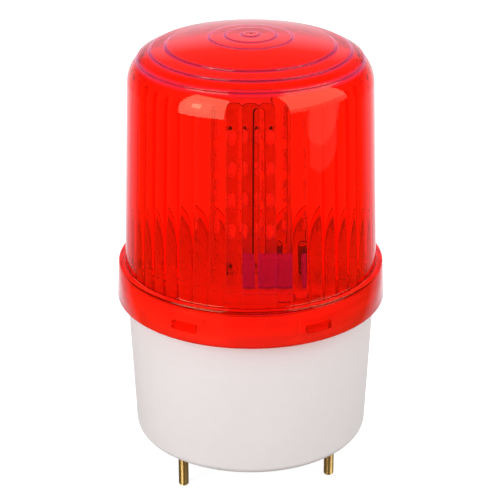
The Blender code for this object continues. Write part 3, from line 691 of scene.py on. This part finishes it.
def build_base():
    """The cup: drafted wall, rounded foot, neck, ledges and stops of the bayonet, pads, posts and webs."""
    outline = rounded_outline([
        (0, BASE_FLOOR), (FLOOR_BORE, BASE_FLOOR, 0.002), (NECK_BORE, NECK_RIM, 0.0004),
        (NECK_RADIUS, NECK_RIM, 0.0004), (NECK_RADIUS, BASE_HEIGHT, 0.0003),
        (BASE_TOP_RADIUS, BASE_HEIGHT, 0.0005), (BASE_FOOT_RADIUS, 0, FOOT_ROUND), (0, 0),
    ], 8)
    cup = turned(outline, 192, WHITE, "base_cup")
    bottom = LUG_TOP + SEAT_GAP
    top = bottom + 0.0022
    inner = NECK_RADIUS - 0.0012
    outer = SKIRT_BORE - SKIRT_SLOPE * (top - BASE_HEIGHT) - 0.0005
    tools = []
    cuts = []
    for centre in LEDGE_CENTRES:
        start = centre - LEDGE_WIDTH / 2
        tools.append(curved_bar(inner, outer, bottom, top, start, LEDGE_WIDTH))
        tools.append(curved_bar(inner, outer, LUG_BOTTOM, bottom + 0.001, start, STOP_WIDTH))
    for direction in STUD_DIRECTIONS:
        centre = around(STUD_CIRCLE, direction)
        tools.append(rod(PAD_RADIUS, BASE_FLOOR / 2, BASE_FLOOR + PAD_RISE, centre, None, 40))
        cuts.append(rod(STUD_RADIUS + 0.0003, -0.005, 0.008, centre))
    top = BOARD_TOP - BOARD_THICKNESS - SEAT_GAP
    wall = FLOOR_BORE + 0.0011
    for direction in POST_DIRECTIONS:
        centre = around(POST_CIRCLE, direction)
        tools.append(rod(0.0034, BASE_FLOOR / 2, top, centre, None, 40))
        web = box((0.0024, wall - POST_CIRCLE, top - 0.005))
        place = around((wall + POST_CIRCLE) / 2, direction, BASE_FLOOR + (top - 0.005) / 2)
        tools.append(moved(web, shift(place) @ spin(direction, "Z")))
        cuts.append(rod(SCREW_HOLE, BOARD_TOP - 0.0099, NECK_RIM, centre))
    cuts.append(rod(INLET_RADIUS, -0.005, 0.005, around(INLET_CIRCLE, INLET_DIRECTION), None, 48))
    combined(cup, tools, "UNION")
    combined(cup, cuts)
    # The neck above the cup's rim gets the brighter copy, as painted light under the skirt.
    cup.data.materials.append(NECK_WHITE_PAINTED_LIGHT)
    for polygon in cup.data.polygons:
        if polygon.center.z > BASE_HEIGHT + 0.0003:
            polygon.material_index = len(cup.data.materials) - 1
    placed(cup, "housing", "base_housing")


def build_seal():
    """A soft ring with rounded edges and a low lip."""
    inner = NECK_BORE + 0.0002
    outer = NECK_RADIUS - 0.0002
    middle = (inner + outer) / 2
    top = SEAL_BOTTOM + SEAL_HEIGHT
    corners = [
        (inner, top - 0.0002, 0.00015), (middle - 0.0004, top - 0.0002, 0.0001), (middle, top, 0.0002),
        (middle + 0.0004, top - 0.0002, 0.0001), (outer, top - 0.0002, 0.00015),
        (outer, SEAL_BOTTOM, 0.0003), (inner, SEAL_BOTTOM, 0.0003),
    ]
    seal = turned(rounded_outline(corners, 3, closed=True), 192, SILICONE, "seal_ring", closed=True)
    placed(seal, "seal", "lens_seal")


def build_stud(index, direction):
    """A hexagon-head bolt with a rolled thread."""
    pitch = 0.0007
    depth = 0.00036
    columns = 28
    seat = BASE_FLOOR + PAD_RISE + SEAT_GAP
    rings = [tip(seat + 0.0014), ring_of(STUD_RADIUS, seat + 0.0014, columns)]
    count = int((seat + 0.0005 - PANEL_LEVEL) / (pitch / 7))
    for row in range(count + 1):
        height = seat + 0.0005 - row * pitch / 7
        limit = STUD_RADIUS - 0.0006 + max(0, height - PANEL_LEVEL)
        ring = []
        for column in range(columns):
            tooth = abs(2 * ((height / pitch - column / columns) % 1) - 1)
            radius = STUD_RADIUS - depth * max(0, min(1, 1.25 * tooth - 0.1))
            ring.append(around(min(radius, limit), 360 * column / columns, height))
        rings.append(ring)
    rings.append(ring_of(STUD_RADIUS - 0.0008, PANEL_LEVEL, columns))
    rings.append(tip(PANEL_LEVEL))
    shank = skin(rings, YELLOW_ZINC, angle=50)
    height = 0.0028
    half_width = 0.0035
    rings = [tip(seat + height), ring_of(0.0029, seat + height, 48, 30)]
    limits = (height - 0.00005, 0.0032), (height - 0.0003, 0.0037), (height - 0.0005, 0.0042)
    for level, limit in (*limits, (0.0002, 0.0042), (0, 0.0036)):
        ring = []
        for column in range(48):
            turn = 30 + 7.5 * column
            flat = half_width / cos(radians((turn + 30) % 60 - 30))
            ring.append(around(min(flat, limit), turn, seat + level))
        rings.append(ring)
    rings.append(tip(seat))
    head = skin(rings, YELLOW_ZINC, angle=25)
    bolt = moved(joined(f"stud_{index}", [shank, head]), shift(around(STUD_CIRCLE, direction)))
    placed(bolt, "stud", f"mounting_bolt_{index}")


def build_plug():
    """A blind cable grommet: a flange with a bead, a shank in the hole and a stepped nipple."""
    seat = BASE_FLOOR + SEAT_GAP
    top = seat + 0.0015
    shank = 0.0047
    corners = [
        (0, top + 0.004), (0.0016, top + 0.004, 0.0005), (0.0020, top + 0.0021, 0.0002),
        (0.0026, top + 0.0020, 0.0002), (0.0032, top, 0.0004), (0.0058, top - 0.0003, 0.0001),
        (0.0062, top, 0.0002), (0.0070, top, 0.0004), (0.0070, seat, 0.0002), (shank, seat, 0.0001),
        (shank, SEAT_GAP, 0.0004), (0.0034, SEAT_GAP, 0.0001), (0.0030, SEAT_GAP + 0.0008, 0.0002),
        (0, SEAT_GAP + 0.0008),
    ]
    plug = turned(rounded_outline(corners, 3), 64, BLACK_RUBBER, "cable_grommet")
    moved(plug, shift(around(INLET_CIRCLE, INLET_DIRECTION)))
    placed(plug, "plug", "inlet_plug")


# Main board

def solder(radius, height, place=(0, 0, 0), turn=0):
    """A domed solder joint."""
    outline = [(0, height), (0.35 * radius, 0.85 * height), (0.55 * radius, 0.4 * height)]
    outline += [(0.8 * radius, 0.12 * height), (radius, 0), (0, -0.00005)]
    return moved(turned(outline, 14, TIN), shift(place) @ spin(turn, "X"))


def build_main_board():
    """The round board, its tracks, and solder joints on both of its sides."""
    under = BOARD_TOP - BOARD_THICKNESS
    corners = [
        (0, BOARD_TOP), (BOARD_RADIUS, BOARD_TOP, 0.0001), (BOARD_RADIUS, under, 0.0001), (0, under),
    ]
    board = turned(rounded_outline(corners, 2), 160, LAMINATE, "round_board")
    places = [around(POST_CIRCLE, direction) for direction in POST_DIRECTIONS]
    combined(board, [rod(SCREW_HOLE, under - 0.001, BOARD_TOP + 0.001, place) for place in places])
    placed(board, "board", "main_board")
    tracks = []
    lift = 0.00004
    runs = (
        ((-0.030, -0.012), (-0.022, -0.0135), (-0.014, -0.021), (-0.002, -0.0265), (0.010, -0.0265)),
        ((0.030, 0.006), (0.026, -0.002), (0.0215, -0.009), (0.0215, -0.017), (0.015, -0.024)),
        ((-0.030, 0.010), (-0.022, 0.017), (-0.012, 0.0215), (-0.0085, 0.0235)),
        ((0.010, 0.0145), (0.018, 0.016), (0.024, 0.012), (0.014, 0.006)),
        ((-0.0225, -0.001), (-0.016, 0.003), (-0.012, 0.009)),
        ((-0.008, -0.0345), (0.004, -0.0355), (0.012, -0.0335)),
        ((-0.034, -0.004), (-0.0355, 0.006), (-0.030, 0.018), (-0.020, 0.028)),
    )
    for run in runs:
        points = [Vector((*point, 0)) for point in run]
        for j, (here, ahead) in enumerate(zip(points, points[1:]), 1):
            strip = box(((ahead - here).length + 0.0012, 0.0012, lift), material=COPPER)
            turn = degrees(atan2(ahead.y - here.y, ahead.x - here.x))
            place = (here + ahead) / 2
            place.z = BOARD_TOP + lift / 2 + 0.00001 * j
            tracks.append(moved(strip, shift(place) @ spin(turn, "Z")))
    for x, y in [point for run in runs for point in (run[0], run[-1])]:
        tracks.append(solder(0.0009, 0.0006, (x, y, BOARD_TOP)))
        tracks.append(solder(0.0009, 0.0009, (x, y, under), 180))
    placed(joined("board_tracks", tracks), "screw")


def build_screw(index, direction):
    """A pan-head screw with a cross recess and a threaded shank."""
    seat = BOARD_TOP + SEAT_GAP
    head = turned(
        [(0, seat + 0.002)]
        + [(0.0027 * sin(a), seat + 0.0009 + 0.0011 * cos(a))
           for a in (radians(10 * i) for i in range(1, 10))]
        + [(0.0027, seat + 0.0001), (0.0026, seat), (0, seat)],
        40,
        BRIGHT_ZINC,
    )
    slots = []
    for turn in (20, 110):
        slot = box((0.0028, 0.0006, 0.0024))
        place = shift((0, 0, seat + 0.0021)) @ spin(turn, "Z")
        slots.append(moved(slot, place))
    combined(head, slots)
    rings = [tip(seat + 0.0004), ring_of(0.0009, seat + 0.0004, 20)]
    bottom = seat - 0.0077
    for row in range(84):
        height = seat + 0.0002 - row * 0.00009
        ring = []
        for column in range(20):
            phase = (height / 0.0009 - column / 20) % 1
            tooth = max(0, 1 - 3.2 * abs(phase - 0.5))
            taper = min(1, (height - bottom) / 0.0012)
            ring.append(around((0.0009 + 0.0004 * tooth) * max(0.1, taper), 18 * column, height))
        rings.append(ring)
    rings.append(tip(bottom))
    shank = skin(rings, BRIGHT_ZINC, angle=50)
    screw = joined(f"pan_screw_{index}", [head, shank])
    moved(screw, shift(around(POST_CIRCLE, direction)))
    placed(screw, "screw", f"board_screw_{index}")


def build_terminal_block():
    """A two-way screw terminal under the board, its screws in their wells and its wire mouths at the side."""
    low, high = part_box("terminal_block")
    centre = (low + high) / 2
    block = box(high - low, centre, GREEN, 0.0003, name="clamp_block")
    cuts = []
    screws = []
    for side in (-1, 1):
        x = centre.x + side * 0.00255
        cuts.append(rod(0.0017, low.z - 0.001, low.z + 0.006, (x, centre.y - 0.0006)))
        mouth = box((0.0032, 0.004, 0.003), (x, low.y, low.z + 0.0062), None, 0.0003)
        cuts.append(mouth)
        head = rod(0.0015, low.z + 0.0018, low.z + 0.0055, (x, centre.y - 0.0006), BRIGHT_ZINC)
        slot = box((0.0034, 0.0005, 0.0012), (x, centre.y - 0.0006, low.z + 0.0018))
        screws.append(combined(head, [slot]))
        plate = (x, centre.y + 0.0002, low.z + 0.0062)
        screws.append(box((0.0028, 0.003, 0.0003), plate, TIN, 0.00005))
    cuts.append(box((0.0006, 0.02, 0.0008), (centre.x, centre.y, low.z)))
    combined(block, cuts)
    placed(block, "terminal", "terminal_block")
    placed(joined("clamp_screws", screws), "screw")


# Components

def build_film_capacitor():
    """A moulded box case with its potted underside and two leads."""
    low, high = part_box("film_capacitor")
    size = high - low
    centre = (low + high) / 2
    case = box(size, centre, FILM_CASE_PAINTED_GLOW, 0.0006, 4, "film_case")
    foot = box((size.x - 0.003, size.y * 2, 0.0008), (centre.x, centre.y, low.z))
    combined(case, [foot])
    placed(case, "film_case", "film_capacitor")
    potting = (size.x - 0.0016, size.y - 0.0016, 0.0006)
    parts = [box(potting, (centre.x, centre.y, low.z + 0.0007), POTTING, 0.0002)]
    for side in (-1, 1):
        x = centre.x + side * 0.005
        parts.append(rod(0.0004, low.z - 0.0003, low.z + 0.0008, (x, centre.y), TIN, 12))
    placed(joined("film_leads", parts), "screw")


def build_can(node, name, radius, turn):
    """An electrolytic capacitor: a shrunk sleeve with a printed stripe, over a can with a scored lid."""
    low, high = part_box(node)
    centre = (low + high) / 2
    low.z += CAN_RISE
    height = high.z - low.z
    groove = 0.00175
    skirt = [
        (radius * 0.78, height - 0.00012), (radius - 0.0006, height, 0.0002),
        (radius, height - 0.0006, 0.0005), (radius, 2.2 * groove, 0.0006),
        (radius - 0.0004, 1.5 * groove, 0.0005), (radius, 0.9 * groove, 0.0006),
        (radius, 0.0003, 0.0004), (radius - 0.0008, 0.00005, 0.0002), (radius * 0.7, 0.0001),
    ]
    outline = rounded_outline(skirt, 4)
    outline = [(0, height - 0.0004), (radius * 0.775, height - 0.0004), *outline, (0, 0.0003)]
    sleeve = turned(outline, 56, SLEEVE, name)
    sleeve.data.materials.append(SLEEVE_STRIPE)
    sleeve.data.materials.append(ALUMINIUM)
    for face in sleeve.data.polygons:
        middle = face.center
        direction = degrees(atan2(middle.x, -middle.y))
        across = abs((direction - turn + 180) % 360 - 180)
        if middle.z > height - 0.0005 and hypot(middle.x, middle.y) < radius * 0.74:
            face.material_index = 2
        elif across < 24 and 0.0012 < middle.z < height - 0.0008 and face.normal.z < 0.5:
            face.material_index = 1
    moved(sleeve, shift((centre.x, centre.y, low.z)))
    placed(sleeve, "sleeve", node)
    lid = turned(
        [(0, 0.0002), (radius * 0.5, 0.00018), (radius * 0.76, 0.00005), (radius * 0.76, 0), (0, 0)],
        48,
        ALUMINIUM,
    )
    scores = []
    for i in range(3):
        score = box((radius * 1.1, 0.00018, 0.0003), (0, 0, 0.0002))
        scores.append(moved(score, spin(60 * i, "Z")))
    combined(lid, scores)
    moved(lid, shift((centre.x, centre.y, high.z - 0.0004)))
    leads = [
        rod(0.00035, BOARD_TOP, low.z + 0.0004, (centre.x + side * 0.0011, centre.y), TIN, 12)
        for side in (-1, 1)
    ]
    placed(joined(f"{name}_metal", [lid, *leads]), "screw")


def build_varistor():
    """A dipped disc on two leads, its coating drawn down over them."""
    place = around(BOARD_RADIUS - 0.0068, 60, ON_BOARD + 0.0051)
    half = 0.0016
    outline = [(0, half), (0.0012, half)]
    for i in range(1, 12):
        a = radians(90 - 15 * i)
        bulge = half * abs(sin(a)) ** 0.7 * (1 if a > 0 else -1)
        outline.append((0.0036 - 0.0014 * (1 - cos(a)) ** 1.2, bulge))
    outline += [(0.0012, -half), (0, -half)]
    pieces = [moved(turned(outline, 48, COATING), spin(90, "X"))]
    for x in (-0.0025, 0.0025):
        for radius, material, levels in (
            (0.0003, TIN, (-0.0015, -0.003, -0.004, -0.0051)),
            (0.00055, COATING, (-0.0018, -0.0026, -0.0037)),
        ):
            pieces.append(tube([Vector((x, 0, level)) for level in levels], radius, material, 12))
    varistor = moved(joined("dipped_disc", pieces), shift(place) @ spin(-30, "Z"))
    placed(varistor, "coating", "varistor")


def build_resistor():
    """A coated resistor with domed ends, its bands, and two bent leads."""
    low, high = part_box("dropper_resistor")
    level = ON_BOARD + 0.0027
    half = 0.0045
    bend = 0.0009
    outline = [(0, half)]
    count = 28
    for i in range(count + 1):
        along = half - 2 * half * i / count
        out = abs(along)
        waist = 0.00145
        if out >= 0.0024:
            waist = 0.0017 - 0.00025 * cos(min(1, (out - 0.0024) / 0.0006) * pi / 2)
        dome = sqrt(max(0, 1 - (max(0, out - 0.0034) / 0.00112) ** 2))
        outline.append((max(0.0005, waist * dome), along))
    outline.append((0, -half))
    body = turned(outline, 32, RESISTOR_COAT)
    body.data.materials.append(SLEEVE)
    body.data.materials.append(COATING)
    for face in body.data.polygons:
        for place, index in ((0.0029, 2), (0.0013, 1), (0, 1), (-0.0016, 2)):
            if abs(face.center.z - place) < 0.00035:
                face.material_index = index
    pieces = [moved(body, spin(90, "X"))]
    elbow = half + 0.0003
    points = [(half - 0.0005, 0), (elbow, 0)]
    for i in range(1, 5):
        points.append((elbow + bend * sin(pi * i / 8), -bend * (1 - cos(pi * i / 8))))
    points.append((elbow + bend, ON_BOARD - level))
    for side in (-1, 1):
        pieces.append(tube([Vector((0, side * y, z)) for y, z in points], 0.00035, TIN, 12))
    centre = (low + high) / 2
    resistor = moved(joined("banded_resistor", pieces), shift((centre.x, centre.y, level)))
    placed(resistor, "coating", "dropper_resistor")


def build_package(node, name, place, size, legs):
    """A moulded package with drafted sides, an orientation dimple and formed legs."""
    length, width, height = size
    bottom = ON_BOARD + 0.0008
    middle = Vector((*place, bottom + height / 2))
    body = box(size, middle, BLACK_MOULDING, 0.0002, name=name)
    for vertex in body.data.vertices:
        off = vertex.co - middle
        rise = abs(off.z) / (height / 2)
        vertex.co.x = middle.x + off.x * (1 - 0.035 * rise)
        vertex.co.y = middle.y + off.y * (1 - 0.05 * rise)
    dimple = (middle.x - length / 2 + 0.0012, middle.y - width / 4)
    combined(body, [rod(0.0005, bottom + height - 0.0002, bottom + height + 1, dimple)])
    placed(body, "black_moulding", node)
    pieces = []
    knee = middle.z - 0.0001
    drop = knee - ON_BOARD
    for side in (-1, 1):
        for i in range(legs):
            x = middle.x + (i + 0.5 - legs / 2) * length / legs
            y = middle.y + side * (width / 2 + 0.0001)
            leg_y = y + side * 0.0002
            pieces += [
                box((0.0011, 0.0007, 0.00025), (x, y, knee), TIN, 0.00006),
                box((0.0008, 0.00025, drop), (x, leg_y, ON_BOARD + drop / 2), TIN, 0.00006),
                solder(0.0008, 0.0006, (x, leg_y, BOARD_TOP)),
            ]
    placed(joined(f"{name}_legs", pieces), "screw")


# Tower of diodes

def build_tower():
    """Four boards on edge, each with holes, tracks and joints, and two columns of domed diodes."""
    width = TOWER_WIDTH - TOWER_BOARD - SEAT_GAP
    height = TOWER_TOP - ON_BOARD
    offset = (TOWER_WIDTH - width) / 2
    face = TOWER_WIDTH / 2
    middle = Vector((-offset, TOWER_BOARD / 2 - face, ON_BOARD + height / 2))
    holes = ((-0.0036, TOWER_TOP - 0.0072), (0.0036, TOWER_TOP - 0.0072), (-0.0036, ON_BOARD + 0.0027))
    pad_outline = [(0.0011, 0.00006), (0.0017, 0.00006), (0.0017, -0.00002), (0.0011, -0.00002)]
    forward = spin(90, "X")
    resin = diode_resin()
    core = diode_core()
    for side, turn in zip(("front", "right", "back", "left"), (0, 90, 180, 270)):
        turned_by = spin(turn, "Z")
        # The diode boards take the darker laminate copy, which is painted shade.
        board = plate(f"diode_board_{side}", width, height, TOWER_BOARD, 0.002, TOWER_LAMINATE_PAINTED_SHADE)
        moved(board, shift(middle))
        board.data.materials.append(CUT_EDGE)
        board.data.materials.append(BLACK_FRONT_TOP)
        # The front board's upward faces are coloured black; the other boards' edges take the cut laminate.
        for polygon in board.data.polygons:
            if side == "front" and polygon.normal.z > 0.3:
                polygon.material_index = 2
            elif abs(polygon.normal.y) < 0.5:
                polygon.material_index = 1
        cuts = []
        for x, level in holes:
            cut = rod(0.001, -0.003, 0.003, (0, 0), None, 24)
            cuts.append(moved(cut, shift((x, middle.y, level)) @ forward))
        combined(board, cuts)
        placed(moved(board, turned_by), "board", f"led_board_{side}")
        details = []
        for column in (-1, 1):
            strip = (column * 0.0013, -face - 0.00002, middle.z - 0.004)
            details.append(box((0.0007, 0.00008, height * 0.82), strip, COPPER))
            for level in ROW_LEVELS:
                for pin in (-1, 1):
                    place = (column * DIODE_ACROSS + pin * 0.00127, TOWER_BOARD - face + 0.00002, level)
                    details.append(solder(0.0008, 0.0009, place, -90))
        for x, level in holes:
            pad = turned(pad_outline, 28, TIN, closed=True)
            details.append(moved(pad, shift((x, -face, level)) @ forward))
        for x in (-0.005, 0, 0.005):
            details.append(solder(0.0011, 0.0012, (x - offset, -face - 0.0002, BOARD_TOP)))
        placed(moved(joined(f"diode_board_{side}_metal", details), turned_by), "screw")
        cores = []
        for row, level in enumerate(ROW_LEVELS):
            for column, across in ((1, -DIODE_ACROSS), (2, DIODE_ACROSS)):
                number = 2 * row + column
                place = turned_by @ shift((across, -face - SEAT_GAP, level)) @ forward
                body = linked(f"diode_{side}_{number}", resin.data)
                body.matrix_world = place
                placed(body, "diode", f"led_{side}_{number}")
                cores.append(moved(linked("core", core.data.copy()), place))
        placed(joined(f"diode_cores_{side}", cores), "screw")
    reach = face + WIRE_STAND
    wire = []
    for y, level in (
        (face + 0.0016, BOARD_TOP), (face + 0.0018, ON_BOARD + 0.002), (reach - 0.0016, ON_BOARD + 0.0042),
        (reach - 0.0004, ON_BOARD + 0.0062), (reach, ON_BOARD + 0.0088), (reach, TOWER_TOP - 0.0045),
        (reach - 0.0003, TOWER_TOP - 0.0031), (reach - 0.0011, TOWER_TOP - 0.0020),
        (reach - 0.0024, TOWER_TOP - 0.0015), (face + 0.0001, TOWER_TOP - 0.0014),
    ):
        wire.append(Vector((WIRE_ACROSS * (1.35 - 0.35 * (y - face) / WIRE_STAND), -y, level)))
    placed(tube(wire, 0.00042, WIRE_BLACK, 12, "tower_wire"), "sleeve")
    bpy.data.objects.remove(resin, do_unlink=True)
    bpy.data.objects.remove(core, do_unlink=True)
    inside = TOWER_WIDTH - 2 * (TOWER_BOARD + SEAT_GAP)
    lid = box((inside, inside, 0.001), (0, 0, TOWER_TOP - 0.0005), LID_WHITE, 0.0001, name="tower_lid")
    placed(lid, "board")


def diode_resin():
    """The moulded body of a 5 mm diode: flange with a flat, straight side and dome."""
    outline = [(0, 0.0049)]
    for i in range(1, 10):
        a = radians(90 - 10 * i)
        outline.append((0.0025 * cos(a), 0.0024 + 0.0025 * sin(a)))
    outline += [(0.0025, 0.0012), (0.00252, 0.00085), (0.0028, 0.0008), (0.0029, 0.0007), (0.0029, 0.0001)]
    outline += [(0.0028, 0), (0, 0)]
    body = turned(outline, 32, RESIN, "diode body")
    for vertex in body.data.vertices:
        if vertex.co.z < 0.00082 and vertex.co.x > 0.0025:
            vertex.co.x = 0.0025
    return body


def diode_core():
    """The lead frame inside: a cup on its post, the other post, the crystal and the wire."""
    cup = [(0, 0.002), (0.0005, 0.002), (0.0009, 0.0026), (0.0011, 0.0026), (0.0009, 0.0014), (0, 0.0014)]
    arch = [Vector((0.00025 * i - 0.0003, 0, 0.0022 + 0.0007 * sin(pi * i / 6))) for i in range(7)]
    return joined("diode core", [
        moved(turned(cup, 20, TIN), shift((-0.0003, 0, 0))),
        box((0.0006, 0.0005, 0.0015), (-0.0008, 0, 0.0009), TIN, 0.0001),
        box((0.0006, 0.0005, 0.0022), (0.0012, 0, 0.0013), TIN, 0.0001),
        box((0.0003, 0.0003, 0.0002), (-0.0003, 0, 0.0021), COATING),
        tube(arch, 0.00004, TIN, 6),
    ])


# Studio

def by_direction(tree, axis, *stops):
    """A colour that depends on how far a direction points along an axis (1) or against it (0)."""
    split = added(tree, "SeparateXYZ", Vector=added(tree, "TexCoord").outputs["Generated"])
    share = added(tree, "MapRange", From_Min=-1, Value=split.outputs[axis])
    return graded(tree, share.outputs["Result"], stops)


def build_world(scene):
    """White to the eye and behind clear plastic, dim in front of it as a studio is, and a low even fill."""
    world = bpy.data.worlds.new("studio")
    scene.world = world
    world.use_nodes = True
    tree = world.node_tree
    path = added(tree, "LightPath").outputs
    dark = (0, (0.08, 0.08, 0.012))
    dim = (0.08, 0.08, 0.02)
    low = by_direction(tree, "Y", dark, (0.75, dim), (0.88, (0.5, 0.45, 0.5)), (0.95, (1, 0.95, 1)))
    high = by_direction(
        tree, "Y", dark, (0.77, dim), (0.82, (0.1, 0.1, 0.06)), (0.94, (0.2, 0.18, 0.17)),
        (0.97, (0.75, 0.6, 0.75)), (1, (1.1, 0.85, 1)),
    )
    tints = (0, (0.35, 0.05, 0.8)), (0.8, (0.4, 0.06, 0.8)), (0.88, (0.75, 0.3, 0.9)), (0.93, PURE_WHITE)
    through = by_direction(tree, "Y", *tints)
    level = by_direction(tree, "Z", (0.45, (0, 0, 0)), (0.6, PURE_WHITE))
    colour = chosen(tree, path["Is Glossy Ray"], (FILL, FILL, FILL), chosen(tree, level, low, high))
    colour = chosen(tree, path["Is Transmission Ray"], colour, through)
    colour = chosen(tree, path["Is Camera Ray"], colour, PURE_WHITE)
    feed(tree.nodes["Background"], Color=colour)


def build_floor():
    """A floor that is as white as the surround and keeps a soft shadow."""
    edge = 1.5
    corners = [(-edge, -edge), (edge, -edge), (edge, edge), (-edge, edge)]
    mesh = bpy.data.meshes.new("floor")
    mesh.from_pydata([(x, y, PANEL_LEVEL) for x, y in corners], [], [(0, 1, 2, 3)])
    material = new_material("pale floor")
    tree = material.node_tree
    path = added(tree, "LightPath").outputs
    seen = reckoned(tree, "Math", "MAXIMUM", path["Is Camera Ray"], path["Is Transmission Ray"])
    glow = reckoned(tree, "Math", "MULTIPLY", seen.outputs["Value"], 0.86).outputs["Value"]
    shader = feed(shader_of(material), Base_Color=(0.36, 0.36, 0.36), Roughness=1, Specular_IOR_Level=0)
    feed(shader, Emission_Color=PURE_WHITE, Emission_Strength=glow)
    mesh.materials.append(material)
    floor = linked("floor", mesh)
    floor.visible_glossy = False


def build_lamp(name, width, height, radiance, mirrored):
    """A lamp panel that faces down until it is turned, which reflections may leave out."""
    lamp = bpy.data.lights.new(name, "AREA")
    lamp.shape = "RECTANGLE"
    lamp.size = width
    lamp.size_y = height
    lamp.energy = radiance * 4 * width * height
    obj = linked(name, lamp)
    obj.visible_glossy = mirrored
    obj.visible_transmission = mirrored
    return obj


def build_softbox(name, distance, azimuths, elevations, radiance, mirrored=True):
    """An upright lamp panel around the dome's middle that spans some directions, with its own brightness."""
    middle = sum(azimuths) / 2
    width = 2 * distance * tan(radians(azimuths[1] - azimuths[0]) / 2)
    low, high = (distance * tan(radians(elevation)) for elevation in elevations)
    lamp = build_lamp(name, width, high - low, radiance, mirrored)
    lamp.location = around(distance, middle, SHOULDER_LEVEL + (low + high) / 2)
    lamp.rotation_euler = (radians(90), 0, radians(middle))


def build_studio():
    """The surround, the floor, softboxes on both sides, a lamp above and the camera."""
    scene = bpy.context.scene
    scene.view_settings.view_transform = "Standard"
    build_world(scene)
    build_floor()
    scene.cycles.max_bounces = 32
    scene.cycles.glossy_bounces = 32
    scene.cycles.transmission_bounces = 32
    build_softbox("left softbox", 1.6, (-67, -23), (-13.8, 49), 2.2)
    build_softbox("left glow", 1.55, (-62, -36), (-2, 32), 0.5)
    build_softbox("left lamp", 1.5, (-55, -46), (10, 23), 3.5)
    build_softbox("right softbox", 1.6, (35, 97), (13, 58), 0.9)
    build_softbox("right glow", 1.65, (35, 97), (2, 60), 0.7)
    build_softbox("right strip", 1.7, (52, 86), (-17.2, 2), 0.3)
    build_softbox("right low strip", 1.75, (54, 84), (-18.3, 2), 0.22)
    build_softbox("left fill", 1.8, (-125, -85), (-10, 40), 0.4, mirrored=False)
    build_softbox("right fill", 1.8, (60, 115), (-10, 40), 0.6, mirrored=False)
    build_lamp("top light", 1.6, 1.6, 1.5, False).location = (0, 0, 1.4)

    data = bpy.data.cameras.new("camera")
    data.lens = 129.19
    data.sensor_width = 36
    data.shift_x = -0.0014
    camera = linked("camera", data)
    camera.location = (0, -0.61276, 0.34298)
    camera.rotation_euler = (radians(66.07), 0, 0)
    scene.camera = camera


build_studio()
build_lens()
build_base()
build_seal()
for number, direction in enumerate(STUD_DIRECTIONS, 1):
    build_stud(number, direction)
build_plug()
build_main_board()
for number, direction in enumerate(POST_DIRECTIONS, 1):
    build_screw(number, direction)
build_terminal_block()
build_film_capacitor()
build_can("smoothing_capacitor", "smoothing_can", 0.00315, 150)
build_can("timing_capacitor", "timing_can", 0.0025, 200)
build_varistor()
build_resistor()
build_package("flasher_chip", "timer_chip", (0.0042, 0.02), (0.0094, 0.0062, 0.0032), 4)
build_package("bridge_rectifier", "bridge", (-0.0034, 0.028), (0.0082, 0.0062, 0.003), 2)
build_tower()
